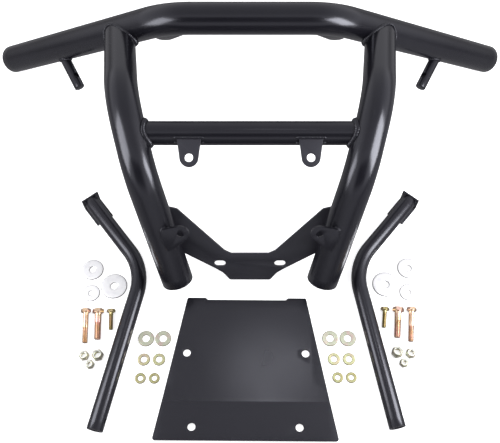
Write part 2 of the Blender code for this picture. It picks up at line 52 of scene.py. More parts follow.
# ------------------------------------------------------------------ sizes, as in the CAD (mm)
MAIN_R, MAIN_WALL = 44.45 / 2, 2.4
CROSS_R, CROSS_WALL = 31.75 / 2, 2.4
BRACE_R, BRACE_WALL = 22.2 / 2, 3.0
STUB_R = 15.875 / 2
GAP = 0.3
RAIL_Z, RAIL_CORNER_X, RAIL_SWEEP = 280.5, 115.6, math.radians(38.6)
BEND_R, WING_LENGTH, CAP_T = 100.0, 369.4, 2.0
UPRIGHT_TOP, UPRIGHT_KNEE, UPRIGHT_SHIN = (192.2, 63.5, 281.0), (167.8, -55.0, 161.0), (144.2, -55.0, 64.0)
UPRIGHT_END_X, UPRIGHT_END_Z, SHIN_SLOPE = 103.4, -84.8, 0.638
CROSSBAR_Y, CROSSBAR_Z = -52.0, 114.2
PLATE_T, EAR_T, EAR_HOLE_R, SLOT_L, SLOT_W = 3.8, 4.6, 11.1 / 2, 16.6, 10.6
STUB_ROOT_X, STUB_TIP, STUB_HOLE_R = 305.3, (268.8, 139.0, 213.0), 8.7 / 2
FLOOR_TILT, LIFT = math.radians(26.453), 99.75

# the CAD layout is centred front to back: the crossbar's axis says by how much
low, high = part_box("crossbar")
SLIDE = (low.y + high.y) / 2 / MM - (math.sin(FLOOR_TILT) * CROSSBAR_Y + math.cos(FLOOR_TILT) * CROSSBAR_Z)

GUARD = Matrix.Translation((0, SLIDE, LIFT)) @ Matrix.Rotation(-(math.pi / 2 - FLOOR_TILT), 4, "X")


# ------------------------------------------------------------------ mesh helpers
def to_world(points, place):
    """Millimetre points through a millimetre matrix, in metres."""
    p = np.asarray([tuple(v) for v in points], float)
    m = np.array(place, float)
    return (p @ m[:3, :3].T + m[:3, 3]) * MM


def raw_object(name, verts, faces, mat=None):
    mesh = bpy.data.meshes.new(name)
    mesh.from_pydata([tuple(map(float, v)) for v in verts], [], faces)
    mesh.validate()
    work = bmesh.new()
    work.from_mesh(mesh)
    bmesh.ops.recalc_face_normals(work, faces=work.faces)
    work.to_mesh(mesh)
    work.free()
    if mat:
        mesh.materials.append(mat)
    thing = bpy.data.objects.new(name, mesh)
    bpy.context.scene.collection.objects.link(thing)
    return thing


def settle(thing, sharp=32.0, biggest=False):
    """Applies the modifiers, keeps one body if asked, and sets the shading."""
    bpy.context.view_layer.update()
    seen = thing.evaluated_get(bpy.context.evaluated_depsgraph_get())
    mesh = bpy.data.meshes.new_from_object(seen)
    thing.modifiers.clear()
    old = thing.data
    thing.data = mesh
    bpy.data.meshes.remove(old)
    mesh.name = thing.name
    if biggest:
        work = bmesh.new()
        work.from_mesh(mesh)
        left, groups = set(work.verts), []
        while left:
            stack, group = [left.pop()], []
            while stack:
                v = stack.pop()
                group.append(v)
                for e in v.link_edges:
                    o = e.other_vert(v)
                    if o in left:
                        left.remove(o)
                        stack.append(o)
            groups.append(group)
        groups.sort(key=len)
        for group in groups[:-1]:
            bmesh.ops.delete(work, geom=group, context="VERTS")
        work.to_mesh(mesh)
        work.free()
    mesh.shade_smooth()
    mesh.set_sharp_from_angle(angle=math.radians(sharp))
    return thing


def finish_piece(thing, body, slot, *nodes):
    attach(thing, body)
    if nodes:
        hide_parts(*nodes)
    return thing


def cutter_done(*things):
    for thing in things:
        bpy.data.objects.remove(thing, do_unlink=True)


def cut(thing, cutter, how="DIFFERENCE"):
    step = thing.modifiers.new("cut", "BOOLEAN")
    step.operation, step.solver, step.object = how, "EXACT", cutter
    return step


def bevel(thing, width, segments=3, angle=35.0):
    step = thing.modifiers.new("bevel", "BEVEL")
    step.width, step.segments, step.limit_method = width * MM, segments, "ANGLE"
    step.angle_limit = math.radians(angle)
    step.use_clamp_overlap = True
    step.miter_outer = "MITER_ARC"
    return step


def fillet_path(points, radius, step=2.0):
    points = [Vector(p) for p in points]
    path = [points[0]]
    for before, corner, after in zip(points, points[1:], points[2:]):
        a, b = (before - corner).normalized(), (after - corner).normalized()
        turn = math.pi - a.angle(b)
        tangent = radius * math.tan(turn / 2)
        centre = corner + (a + b).normalized() * (radius / math.cos(turn / 2))
        start, end = corner + a * tangent, corner + b * tangent
        count = max(3, round(math.degrees(turn) / step))
        axis = (start - centre).cross(end - centre).normalized()
        for k in range(count + 1):
            path.append(centre + Matrix.Rotation(turn * k / count, 3, axis) @ (start - centre))
    path.append(points[-1])
    return path


def dense(path, gap=12.0):
    """The same path with its straight stretches divided."""
    out = [path[0]]
    for a, b in zip(path, path[1:]):
        n = max(1, int((b - a).length // gap))
        out += [a.lerp(b, k / n) for k in range(1, n + 1)]
    return out


def frames_along(path, first):
    ways = []
    for i in range(len(path)):
        back = path[i] - path[i - 1] if i else path[1] - path[0]
        ahead = path[i + 1] - path[i] if i + 1 < len(path) else back
        ways.append((back.normalized() + ahead.normalized()).normalized())
    up = Vector(first)
    up = (up - up.dot(ways[0]) * ways[0]).normalized()
    out = []
    for i, way in enumerate(ways):
        if i:
            up = ways[i - 1].rotation_difference(way) @ up
            up = (up - up.dot(way) * way).normalized()
        out.append((way, up, way.cross(up)))
    return out


def lathe_along(name, path, profile, sides, mat, place, first=(0, 0, 1)):
    """A tube along the path.  profile lists (where, inset, radius): where is 0 at the path's start
    or 1 at its end, inset is the distance in from that end; rows follow one another round the
    section, and a pair of rows at opposite ends is joined by the whole run between them."""
    path = dense([Vector(p) for p in path])
    frames = frames_along(path, first)
    lengths = [0.0]
    for a, b in zip(path, path[1:]):
        lengths.append(lengths[-1] + (b - a).length)
    total = lengths[-1]

    def ring(centre, fr, r):
        _, up, side = fr
        return [centre + r * (math.cos(t) * up + math.sin(t) * side)
                for t in (2 * math.pi * k / sides for k in range(sides))]

    rows = []
    solid = profile[0][2] == 0
    for (w0, inset0, r0), (w1, inset1, r1) in zip(profile, profile[1:] + (profile[-1:] if solid else profile[:1])):
        end = 0 if w0 == 0 else -1
        way = frames[end][0] * (1 if w0 == 0 else -1)
        rows.append(("end", path[end] + way * inset0, frames[end], r0))
        if w0 != w1:
            order = range(1, len(path) - 1) if w0 == 0 else range(len(path) - 2, 0, -1)
            for i in order:
                inset_a = lengths[i] if w0 == 0 else total - lengths[i]
                inset_b = total - lengths[i] if w0 == 0 else lengths[i]
                if inset_a > inset0 + 0.5 and inset_b > inset1 + 0.5:
                    rows.append(("run", path[i], frames[i], r0))
    verts, faces, index = [], [], []
    for _, centre, fr, r in rows:
        if r == 0:
            index.append([len(verts)])
            verts.append(centre)
        else:
            index.append(list(range(len(verts), len(verts) + sides)))
            verts += ring(centre, fr, r)
    closed = profile[0][2] != 0
    for low_row, high_row in list(zip(index, index[1:])) + ([(index[-1], index[0])] if closed else []):
        for k in range(sides):
            n = (k + 1) % sides
            if len(low_row) == 1:
                faces.append((low_row[0], high_row[k], high_row[n]))
            elif len(high_row) == 1:
                faces.append((low_row[k], high_row[0], low_row[n]))
            else:
                faces.append((low_row[k], low_row[n], high_row[n], high_row[k]))
    return raw_object(name, to_world(verts, place), faces, mat)


def pipe(name, path, r, wall, sides, mat, place, lip=0.5, first=(0, 0, 1)):
    """An open tube with softened lips, or with wall None a solid bar with rounded ends."""
    if wall is None:
        e = lip
        profile = [(0, 0, 0), (0, 0, r - e), (0, e * 0.3, r - e * 0.3), (0, e, r),
                   (1, e, r), (1, e * 0.3, r - e * 0.3), (1, 0, r - e), (1, 0, 0)]
    else:
        i, e = r - wall, min(lip, wall * 0.4)
        profile = [(0, e * 0.3, i + e * 0.3), (0, 0, i + e), (0, 0, r - e), (0, e * 0.3, r - e * 0.3), (0, e, r),
                   (1, e, r), (1, e * 0.3, r - e * 0.3), (1, 0, r - e), (1, 0, i + e), (1, e * 0.3, i + e * 0.3), (1, e, i), (0, e, i)]
    return lathe_along(name, path, profile, sides, mat, place, first)


def bar(path, r, sides, place, first=(0, 0, 1)):
    """A plain solid bar, used for cutting."""
    return lathe_along("bar", path, [(0, 0, 0), (0, 0, r), (1, 0, r), (1, 0, 0)], sides, None, place, first)


def rounded(points, radii, steps=8):
    outline, count = [], len(points)
    for i in range(count):
        before, corner, after = (Vector((*points[(i + d) % count], 0)) for d in (-1, 0, 1))
        r = radii[i] if isinstance(radii, (list, tuple)) else radii
        if r <= 0:
            outline.append((corner.x, corner.y))
            continue
        a, b = (before - corner).normalized(), (after - corner).normalized()
        turn = math.pi - a.angle(b)
        centre = corner + (a + b).normalized() * (r / math.cos(turn / 2))
        start = corner + a * r * math.tan(turn / 2) - centre
        spin = math.copysign(1, start.cross(corner + b * r * math.tan(turn / 2) - centre).z)
        for k in range(steps + 1):
            p = centre + Matrix.Rotation(spin * turn * k / steps, 3, "Z") @ start
            outline.append((p.x, p.y))
    return outline


def frame_of(origin, x_axis, y_hint):
    x = Vector(x_axis).normalized()
    z = x.cross(Vector(y_hint)).normalized()
    y = z.cross(x)
    m = Matrix((x, y, z)).transposed().to_4x4()
    m.translation = Vector(origin)
    return m


def plate(name, outline, thickness, lie, mat, place):
    verts = [lie @ Vector((x, y, h)) for h in (0.0, thickness) for x, y in outline]
    n = len(outline)
    faces = [tuple(range(n))[::-1], tuple(range(n, 2 * n))]
    faces += [(k, (k + 1) % n, n + (k + 1) % n, n + k) for k in range(n)]
    return raw_object(name, to_world(verts, place), faces, mat)


def drill(centre, axis, radius, reach, place, slot=0.0, along=(1, 0, 0), sides=48):
    axis, along = Vector(axis).normalized(), Vector(along)
    along = (along - along.dot(axis) * axis).normalized() if along.cross(axis).length > 1e-6 else axis.orthogonal().normalized()
    across = axis.cross(along)
    outline = []
    for k in range(sides):
        t = 2 * math.pi * (k + 0.5) / sides
        outline.append(along * (radius * math.cos(t) + math.copysign(slot / 2, math.cos(t))) + across * radius * math.sin(t))
    verts = [Vector(centre) + axis * h + p for h in (-reach, reach) for p in outline]
    faces = [tuple(range(sides))[::-1], tuple(range(sides, 2 * sides))]
    faces += [(k, (k + 1) % sides, sides + (k + 1) % sides, sides + k) for k in range(sides)]
    return raw_object("drill", to_world(verts, place), faces)


def ear_outline(half_root, tip_r, drop, steps=28):
    lean = math.asin((half_root - tip_r) / drop)
    arc = [math.radians(180) + lean + (math.pi - 2 * lean) * k / steps for k in range(steps + 1)]
    return [(tip_r * math.cos(t), tip_r * math.sin(t)) for t in arc] + [(half_root, drop), (-half_root, drop)]


def mirror(p, s):
    return Vector((p[0] * s, p[1], p[2]))


# ------------------------------------------------------------------ welds
def bead(name, points, normals, radius, place, mat, body, closed=False, pitch=2.0, height=0.72, seed=0.0, ripple=0.13):
    """A rippled weld bead along the points (mm).  normals point out of the joint's corner."""
    pts = [Vector(p) for p in points]
    nor = [Vector(n).normalized() for n in normals]
    rad = list(radius) if isinstance(radius, (list, tuple)) else [radius] * len(pts)
    if closed:
        pts, nor, rad = pts + pts[:1], nor + nor[:1], rad + rad[:1]
    run = [0.0]
    for a, b in zip(pts, pts[1:]):
        run.append(run[-1] + (b - a).length)
    total = run[-1]
    ripples = max(3, round(total / pitch))
    count = ripples * 6
    xs = [total * k / count for k in range(count + (0 if closed else 1))]
    p = np.array([[np.interp(x, run, [v[i] for v in pts]) for i in range(3)] for x in xs])
    m = np.array([[np.interp(x, run, [v[i] for v in nor]) for i in range(3)] for x in xs])
    r = np.array([np.interp(x, run, rad) for x in xs])
    for _ in range(4):   # smooth the path a little
        if closed:
            p = (np.roll(p, 1, 0) + 2 * p + np.roll(p, -1, 0)) / 4
            m = (np.roll(m, 1, 0) + 2 * m + np.roll(m, -1, 0)) / 4
        else:
            p[1:-1] = (p[:-2] + 2 * p[1:-1] + p[2:]) / 4
            m[1:-1] = (m[:-2] + 2 * m[1:-1] + m[2:]) / 4
    if closed:
        tang = np.roll(p, -1, 0) - np.roll(p, 1, 0)
    else:
        tang = np.gradient(p, axis=0)
    tang /= np.linalg.norm(tang, axis=1, keepdims=True) + 1e-12
    m -= (m * tang).sum(1, keepdims=True) * tang
    m /= np.linalg.norm(m, axis=1, keepdims=True) + 1e-12
    b = np.cross(tang, m)
    around = 20
    verts, faces = [], []
    for i, x in enumerate(xs):
        taper = 1.0
        if not closed:
            edge = min(x, total - x)
            taper = math.sqrt(max(0.0, 1 - (1 - min(1.0, edge / (r[i] * 0.9))) ** 2)) * 0.94 + 0.06
        for k in range(around):
            t = 2 * math.pi * k / around
            # each ripple is a crescent, bowed along the run
            u = (x + 0.5 * r[i] * math.cos(t)) / total * ripples
            u -= math.floor(u)
            wave = math.sin(math.pi * min(1.0, u * 1.25)) ** 0.7 if u < 0.8 else 0.0
            q = p[i] + m[i] * math.cos(t) + b[i] * math.sin(t)
            wobble = noise.noise(Vector((q[0] * 0.35 + seed, q[1] * 0.35, q[2] * 0.35))) * 0.16
            reach = r[i] * taper * (1 - ripple + ripple * wave + wobble)
            verts.append(p[i] + m[i] * math.cos(t) * reach * height + b[i] * math.sin(t) * reach)
    rows = len(xs)
    for i in range(rows if closed else rows - 1):
        j = (i + 1) % rows
        for k in range(around):
            n = (k + 1) % around
            faces.append((i * around + k, i * around + n, j * around + n, j * around + k))
    if not closed:
        faces.append(tuple(range(around))[::-1])
        faces.append(tuple(range((rows - 1) * around, rows * around)))
    thing = raw_object(name, to_world(verts, place), faces, mat)
    settle(thing, sharp=80)
    return finish_piece(thing, body, "black_powder_coat")


def tree_of(thing):
    return BVHTree.FromPolygons([v.co.copy() for v in thing.data.vertices], [list(f.vertices) for f in thing.data.polygons])


def weld_round(centre, way, r, up, tree, place, count=120, start=0.0, span=2 * math.pi, offset=0.6, inset=0.3, far=200.0):
    """Where a round bar of radius r leaving centre along way meets another surface (tree, in
    metres): points, outward normals and angles, in mm in the place's frame."""
    way = Vector(way).normalized()
    up = Vector(up)
    up = (up - up.dot(way) * way).normalized()
    side = way.cross(up)
    back = place.inverted()
    spin = place.to_3x3()
    full = abs(span - 2 * math.pi) < 1e-6
    points, normals, angles = [], [], []
    for k in range(count + (0 if full else 1)):
        t = start + span * k / count
        radial = math.cos(t) * up + math.sin(t) * side
        origin = Vector(centre) + radial * (r - inset)
        hit, normal, _, _ = tree.ray_cast((place @ origin) * MM, (spin @ way).normalized(), far * MM)
        if hit is None:
            continue
        local = back @ (hit / MM)
        n = (spin.inverted() @ normal).normalized()
        if n.dot(way) > 0:
            n = -n
        points.append(local + (n + radial) * offset)
        normals.append((n + radial).normalized())
        angles.append(t)
    return points, normals, angles


# ------------------------------------------------------------------ materials
def new_material(name):
    mat = bpy.data.materials.new(name)
    mat.use_nodes = True
    tree = mat.node_tree
    return mat, tree, tree.nodes["Principled BSDF"]


def node(tree, kind, **values):
    n = tree.nodes.new(kind)
    for key, value in values.items():
        if key.startswith("_"):
            setattr(n, key[1:], value)
        else:
            n.inputs[key.replace("_", " ")].default_value = value
    return n


def ramp(tree, source, stops):
    r = tree.nodes.new("ShaderNodeValToRGB")
    tree.links.new(source, r.inputs["Fac"])
    e = r.color_ramp.elements
    e[0].position, e[0].color = stops[0][0], (*stops[0][1], 1)
    e[1].position, e[1].color = stops[-1][0], (*stops[-1][1], 1)
    for where, colour in stops[1:-1]:
        x = e.new(where)
        x.color = (*colour, 1)
    return r.outputs["Color"]


def spread(tree, source, low_value, high_value, from_low=0.3, from_high=0.7):
    m = tree.nodes.new("ShaderNodeMapRange")
    tree.links.new(source, m.inputs["Value"])
    m.inputs["From Min"].default_value, m.inputs["From Max"].default_value = from_low, from_high
    m.inputs["To Min"].default_value, m.inputs["To Max"].default_value = low_value, high_value
    return m.outputs["Result"]


def powder_coat(name, dark, light, rough, peel=0.022, grain=0.0):
    mat, tree, shader = new_material(name)
    coord = tree.nodes.new("ShaderNodeTexCoord")
    cloud = node(tree, "ShaderNodeTexNoise", Scale=9.0, Detail=3.0, Roughness=0.55)
    fleck = node(tree, "ShaderNodeTexNoise", Scale=1400.0, Detail=1.0, Roughness=0.5)
    peel_n = node(tree, "ShaderNodeTexNoise", Scale=330.0, Detail=2.5, Roughness=0.5)
    fine = node(tree, "ShaderNodeTexNoise", Scale=2600.0, Detail=1.0, Roughness=0.5)
    for n in (cloud, fleck, peel_n, fine):
        tree.links.new(coord.outputs["Object"], n.inputs["Vector"])
    colour = ramp(tree, cloud.outputs["Fac"], [(0.3, dark), (0.7, light)])
    mixed = tree.nodes.new("ShaderNodeMix")
    mixed.data_type, mixed.blend_type = "RGBA", "MULTIPLY"
    tree.links.new(colour, mixed.inputs["A"])
    tree.links.new(ramp(tree, fleck.outputs["Fac"], [(0.3, (0.82, 0.82, 0.83)), (0.7, (1.14, 1.14, 1.15))]), mixed.inputs["B"])
    mixed.inputs["Factor"].default_value = 1.0
    tree.links.new(mixed.outputs["Result"], shader.inputs["Base Color"])
    tree.links.new(spread(tree, cloud.outputs["Fac"], rough - 0.025, rough + 0.035), shader.inputs["Roughness"])
    bump_a = node(tree, "ShaderNodeBump", Strength=peel, Distance=0.0005)
    bump_b = node(tree, "ShaderNodeBump", Strength=peel * 0.6 + grain, Distance=0.00008)
    tree.links.new(peel_n.outputs["Fac"], bump_a.inputs["Height"])
    tree.links.new(fine.outputs["Fac"], bump_b.inputs["Height"])
    tree.links.new(bump_a.outputs["Normal"], bump_b.inputs["Normal"])
    tree.links.new(bump_b.outputs["Normal"], shader.inputs["Normal"])
    shader.inputs["IOR"].default_value = 1.5
    shader.inputs["Specular Tint"].default_value = (0.90, 0.91, 1.0, 1)
    return mat


def plating(name, stops, rough, scale=90.0, bump=0.05, metallic=1.0):
    """Zinc plating whose colour drifts over the surface through the stops."""
    mat, tree, shader = new_material(name)
    coord = tree.nodes.new("ShaderNodeTexCoord")
    drift = node(tree, "ShaderNodeTexNoise", Scale=scale, Detail=2.0, Roughness=0.5, Distortion=0.4)
    micro = node(tree, "ShaderNodeTexNoise", Scale=1800.0, Detail=3.0, Roughness=0.6)
    for n in (drift, micro):
        tree.links.new(coord.outputs["Object"], n.inputs["Vector"])
    weight = node(tree, "ShaderNodeLayerWeight", Blend=0.35)
    add = node(tree, "ShaderNodeMath", _operation="MULTIPLY_ADD")
    tree.links.new(weight.outputs["Facing"], add.inputs[0])
    add.inputs[1].default_value = 0.22
    tree.links.new(drift.outputs["Fac"], add.inputs[2])
    tree.links.new(ramp(tree, add.outputs["Value"], stops), shader.inputs["Base Color"])
    shader.inputs["Metallic"].default_value = metallic
    tree.links.new(spread(tree, micro.outputs["Fac"], rough - 0.05, rough + 0.07), shader.inputs["Roughness"])
    rise = node(tree, "ShaderNodeBump", Strength=bump, Distance=0.0001)
    tree.links.new(micro.outputs["Fac"], rise.inputs["Height"])
    tree.links.new(rise.outputs["Normal"], shader.inputs["Normal"])
    return mat


BLACK = powder_coat("powder_coat", (0.0058, 0.0056, 0.0078), (0.0074, 0.0072, 0.0098), 0.23)
BLACK_FLAT = powder_coat("powder_coat_plate", (0.0088, 0.0086, 0.0112), (0.0110, 0.0108, 0.0136), 0.25, peel=0.04)
# a copy of the coat, rougher and with weak reflection, used past the skid plate's fold: painted shade on the folded
# border
BORDER_SHADE_COAT = powder_coat("powder_coat_border_painted_shade", (0.0120, 0.0117, 0.0150), (0.0140, 0.0137, 0.0172), 0.42, peel=0.04)
for part in BORDER_SHADE_COAT.node_tree.nodes:
    if part.type == "BSDF_PRINCIPLED":
        part.inputs["Specular IOR Level"].default_value = 0.28
BLACK_PLATE = powder_coat("powder_coat_heavy", (0.0160, 0.0157, 0.0200), (0.0190, 0.0186, 0.0235), 0.37, peel=0.06)
WELD = powder_coat("powder_coat_weld", (0.0058, 0.0056, 0.0078), (0.0074, 0.0072, 0.0098), 0.16, peel=0.05)
BOLT = plating("zinc_bolt", [(0.30, (0.52, 0.33, 0.19)), (0.50, (0.66, 0.49, 0.34)), (0.72, (0.74, 0.47, 0.41))], 0.28)
BOLT_14 = plating("zinc_bolt_olive", [(0.30, (0.34, 0.27, 0.10)), (0.50, (0.46, 0.40, 0.20)), (0.72, (0.50, 0.36, 0.24))], 0.28)
# dark platings for the washers' rolled rims and hole edges: painted shade that outlines each washer
WASHER_RIM_SHADE = plating("zinc_rim_painted_shade", [(0.30, (0.10, 0.10, 0.10)), (0.70, (0.17, 0.17, 0.17))], 0.5)
FLAT_RIM_SHADE = plating("zinc_rim_painted_shade_yellow", [(0.30, (0.15, 0.135, 0.08)), (0.70, (0.24, 0.21, 0.14))], 0.45)
NUT = plating("zinc_nut", [(0.28, (0.56, 0.62, 0.46)), (0.45, (0.72, 0.72, 0.52)), (0.60, (0.74, 0.66, 0.54)), (0.78, (0.60, 0.70, 0.54))], 0.27)
FLAT_38 = plating("zinc_washer_green", [(0.28, (0.66, 0.62, 0.52)), (0.50, (0.62, 0.66, 0.50)), (0.70, (0.70, 0.55, 0.50))], 0.30)
FLAT_516 = plating("zinc_washer_pink", [(0.28, (0.60, 0.66, 0.40)), (0.50, (0.66, 0.64, 0.36)), (0.72, (0.70, 0.55, 0.45))], 0.30)
FLAT_14 = plating("zinc_washer_gold", [(0.28, (0.52, 0.55, 0.30)), (0.50, (0.50, 0.46, 0.22)), (0.72, (0.62, 0.60, 0.40))], 0.30)
BRIGHT = plating("zinc_bright", [(0.30, (0.83, 0.83, 0.84)), (0.50, (0.90, 0.90, 0.90)), (0.70, (0.87, 0.87, 0.88))], 0.40)
NYLON = plating("nylon_insert", [(0.30, (0.76, 0.78, 0.74)), (0.70, (0.84, 0.86, 0.82))], 0.45, metallic=0.0)


# ------------------------------------------------------------------ the guard
SIDES = 72


def build_guard():
    G = GUARD
    wing_way = Vector((math.cos(RAIL_SWEEP), math.sin(RAIL_SWEEP), 0))
    wing_end = Vector((RAIL_CORNER_X, 0, RAIL_Z)) + wing_way * WING_LENGTH
    short = wing_end - wing_way * (CAP_T + GAP)
    rail_path = fillet_path([mirror(short, -1), (-RAIL_CORNER_X, 0, RAIL_Z), (RAIL_CORNER_X, 0, RAIL_Z), short], BEND_R, 1.5)
    rail = pipe("top_rail_tube", rail_path, MAIN_R, MAIN_WALL, SIDES, BLACK, G, lip=0.45)
    settle(rail)
    finish_piece(rail, "guard", "black_powder_coat", "top_rail")
    rail_tree = tree_of(rail)
    rail_core = bar(rail_path, MAIN_R - 0.5, SIDES, G)

    top, knee, shin = Vector(UPRIGHT_TOP), Vector(UPRIGHT_KNEE), Vector(UPRIGHT_SHIN)
    end = Vector((UPRIGHT_END_X, shin.y + SHIN_SLOPE * (shin.z - UPRIGHT_END_Z), UPRIGHT_END_Z))
    top = top - (top - knee).normalized() * 4.0
    shin_way = (end - shin).normalized()
    shin_end = end - shin_way * (CAP_T + GAP)

    crossbar = pipe("crossbar_tube", [(-152, CROSSBAR_Y, CROSSBAR_Z), (152, CROSSBAR_Y, CROSSBAR_Z)], CROSS_R, CROSS_WALL, 64, BLACK, G)
    settle(crossbar)
    finish_piece(crossbar, "guard", "black_powder_coat", "crossbar")
    cross_core = bar([(-152, CROSSBAR_Y, CROSSBAR_Z), (152, CROSSBAR_Y, CROSSBAR_Z)], CROSS_R - 0.4, 64, G)
    cross_tree = tree_of(crossbar)

    # mounting plate
    run = Vector((0, SHIN_SLOPE, -1)).normalized()
    back = Vector((0, 1, SHIN_SLOPE)).normalized()
    face = Vector((0, shin.y, shin.z)) + back * (MAIN_R + GAP)
    level = lambda z: (face.z - z) * math.sqrt(1 + SHIN_SLOPE ** 2)
    half = [
        (29.5, level(-85.0)), (39.0, level(-74.5)), (49.0, level(-68.5)), (118.0, level(-33.0)),
        (131.0, level(3.0)), (117.0, level(20.0)), (101.0, level(16.5)), (36.0, level(-42.5)), (27.0, level(-46.5)),
    ]
    radii = [4, 10, 10, 6, 10, 5, 7, 10, 2]
    outline = rounded(half + [(-x, y) for x, y in half[::-1]], radii + radii[::-1])
    lie = frame_of(face, (1, 0, 0), run)
    if (lie.to_3x3() @ Vector((0, 0, 1))).dot(back) < 0:
        lie = frame_of(face, (-1, 0, 0), run)
    mount = plate("mount_plate_sheet", outline, PLATE_T, lie, BLACK_PLATE, G)
    drills = []
    for s in (-1, 1):
        where = Vector((s * 43.4, 0, 0)) + face + run * level(-60.7)
        drills.append(drill(where, back, SLOT_W / 2, 20, G, slot=SLOT_L - SLOT_W, along=(1, 0, 0)))
        cut(mount, drills[-1])
    bevel(mount, 0.45)
    settle(mount, 40)
    cutter_done(*drills)
    finish_piece(mount, "guard", "black_powder_coat", "mount_plate")
    plate_tree = tree_of(mount)

    for side, s in (("left", -1), ("right", 1)):
        cap = pipe(f"rail_cap_{side}", [mirror(wing_end - wing_way * CAP_T, s), mirror(wing_end, s)], MAIN_R - 0.1, None, SIDES, BLACK, G, lip=0.7)
        settle(cap)
        finish_piece(cap, "guard", "black_powder_coat", f"rail_end_cap_{side}")

        front = Vector((0, -1, 0))
        path = fillet_path([mirror(p, s) for p in (top, knee, shin, shin_end)], BEND_R, 1.5)
        upright = pipe(f"upright_tube_{side}", path, MAIN_R, MAIN_WALL, SIDES, BLACK, G, lip=0.45, first=front)
        cut(upright, rail_core)
        settle(upright, biggest=True)
        finish_piece(upright, "guard", "black_powder_coat", f"upright_{side}")
        upright_tree = tree_of(upright)
        way = mirror(shin_way, s)
        cap = pipe(f"upright_cap_{side}", [mirror(end, s) - way * CAP_T, mirror(end, s)], MAIN_R - 0.1, None, SIDES, BLACK, G, lip=0.7, first=front)
        settle(cap)
        finish_piece(cap, "guard", "black_powder_coat", f"upright_end_cap_{side}")

        # weld of the upright to the rail: a thin cap bead outside, a fat fillet inside
        last = fillet_path([mirror(p, s) for p in (top, knee, shin, shin_end)], BEND_R, 1.5)[1]
        climb = (mirror(top, s) - last).normalized()
        pts, nor, ang = weld_round(last, climb, MAIN_R, (0, -1, 0), rail_tree, G, count=160, offset=0.55)
        if pts:
            inner = Vector((-s, 0, 0))
            sizes = []
            for n in nor:
                lean = max(0.0, n.dot(Vector((-s * 0.85, -0.2, -0.5)).normalized()))
                sizes.append(2.5 + 3.4 * lean ** 2)
            bead(f"weld_upright_rail_{side}", pts, nor, sizes, G, WELD, "guard", closed=True, pitch=2.6, seed=3.0 + s, ripple=0.2)

        # weld of the crossbar to the upright
        pts, nor, ang = weld_round((s * 100, CROSSBAR_Y, CROSSBAR_Z), (s, 0, 0), CROSS_R, (0, 0, 1), upright_tree, G, count=120, offset=0.9)
        sizes = [3.5 + 1.9 * abs(n.z) ** 2 for n in nor]
        bead(f"weld_crossbar_{side}", pts, nor, sizes, G, WELD, "guard", closed=True, pitch=2.6, seed=9.0 + s, ripple=0.2)

        # ear under the crossbar
        tip_z = 80.9
        ear_face = frame_of((s * 78.7, CROSSBAR_Y - 9.6, tip_z), (1, 0, 0), (0, 0, 1))
        ear = plate(f"crossbar_ear_{side}", ear_outline(15.5, 12.2, 24.0), EAR_T, ear_face, BLACK_PLATE, G)
        hole = drill((s * 78.7, CROSSBAR_Y - 12, tip_z), (0, 1, 0), EAR_HOLE_R, 20, G)
        cut(ear, cross_core)
        cut(ear, hole)
        bevel(ear, 0.4)
        settle(ear, 40, biggest=True)
        cutter_done(hole)
        finish_piece(ear, "guard", "black_powder_coat", f"crossbar_tab_{side}")
        front_y = min((ear_face @ Vector((0, 0, h))).y for h in (0, EAR_T))
        rear_y = max((ear_face @ Vector((0, 0, h))).y for h in (0, EAR_T))
        for which, y, way_out in (("front", front_y, -1), ("rear", rear_y, 1)):
            drop = math.sqrt(max(1.0, CROSS_R ** 2 - (y - CROSSBAR_Y) ** 2))
            pts, nor = [], []
            for k in range(25):
                x = s * 78.7 + (-19.5 + 39.0 * k / 24)
                pts.append(Vector((x, y + way_out * 0.3, CROSSBAR_Z - drop - 0.6)))
                nor.append(Vector((0, way_out, -0.35)))
            bead(f"weld_crossbar_ear_{which}_{side}", pts, nor, 2.1, G, WELD, "guard", seed=20.0 + s + (0 if which == "front" else 5), height=0.85)

        # ear on the front of the shin
        inward = mirror(Vector((-1, 0, 0)), s)
        inward = (inward - inward.dot(way) * way).normalized()
        front_way = way.cross(inward)
        if front_way.y > 0:
            front_way = -front_way
        root = mirror(shin, s) + way * ((shin.z + 11.5) / -shin_way.z)
        dome = [(31.4 + 12.2 * math.cos(t), -0.5 + 12.2 * math.sin(t)) for t in (math.radians(-96 + 146 * k / 36) for k in range(37))]
        shape = [(4.5, 2.0), (7.5, -10.0), (11.0, -12.6)] + dome + [(16.0, 20.0), (8.5, 21.5)]
        ear_face = frame_of(root + front_way * 20.4, inward, way)
        if (ear_face.to_3x3() @ Vector((0, 0, 1))).dot(front_way) < 0:
            ear_face = ear_face @ Matrix.Translation((0, 0, -EAR_T + 0.6))
        ear = plate(f"upright_ear_{side}", shape, EAR_T - 0.6, ear_face, BLACK, G)
        core = bar(path, MAIN_R - 0.4, SIDES, G, first=front)
        hole = drill(root + front_way * 22 + inward * 31.4 - way * 0.5, front_way, 9.5 / 2, 20, G)
        cut(ear, core)
        cut(ear, hole)
        bevel(ear, 0.4)
        settle(ear, 40, biggest=True)
        cutter_done(hole, core)
        finish_piece(ear, "guard", "black_powder_coat", f"upright_tab_{side}")
        # its weld runs round the ear's outer edge on the tube
        line = [(13.5, -12.6), (10.5, -12.8), (7.0, -10.3), (5.4, -4.0), (4.3, 2.0), (6.0, 11.0), (8.3, 21.8), (14.0, 21.2)]
        pts, nor = [], []
        spin = G.to_3x3()
        for a, b in zip(line, line[1:]):
            for k in range(5):
                x, y = a[0] + (b[0] - a[0]) * k / 5, a[1] + (b[1] - a[1]) * k / 5
                start = ear_face @ Vector((x, y, 2.0)) + front_way * 30
                hit, normal, _, _ = upright_tree.ray_cast((G @ start) * MM, (spin @ -front_way).normalized(), 0.06)
                if hit is not None:
                    local = G.inverted() @ (hit / MM)
                    n = (spin.inverted() @ normal).normalized()
                    pts.append(local + n * 0.5)
                    nor.append(n)
        if len(pts) > 6:
            bead(f"weld_upright_ear_{side}", pts, nor, 1.9, G, WELD, "guard", seed=31.0 + s)

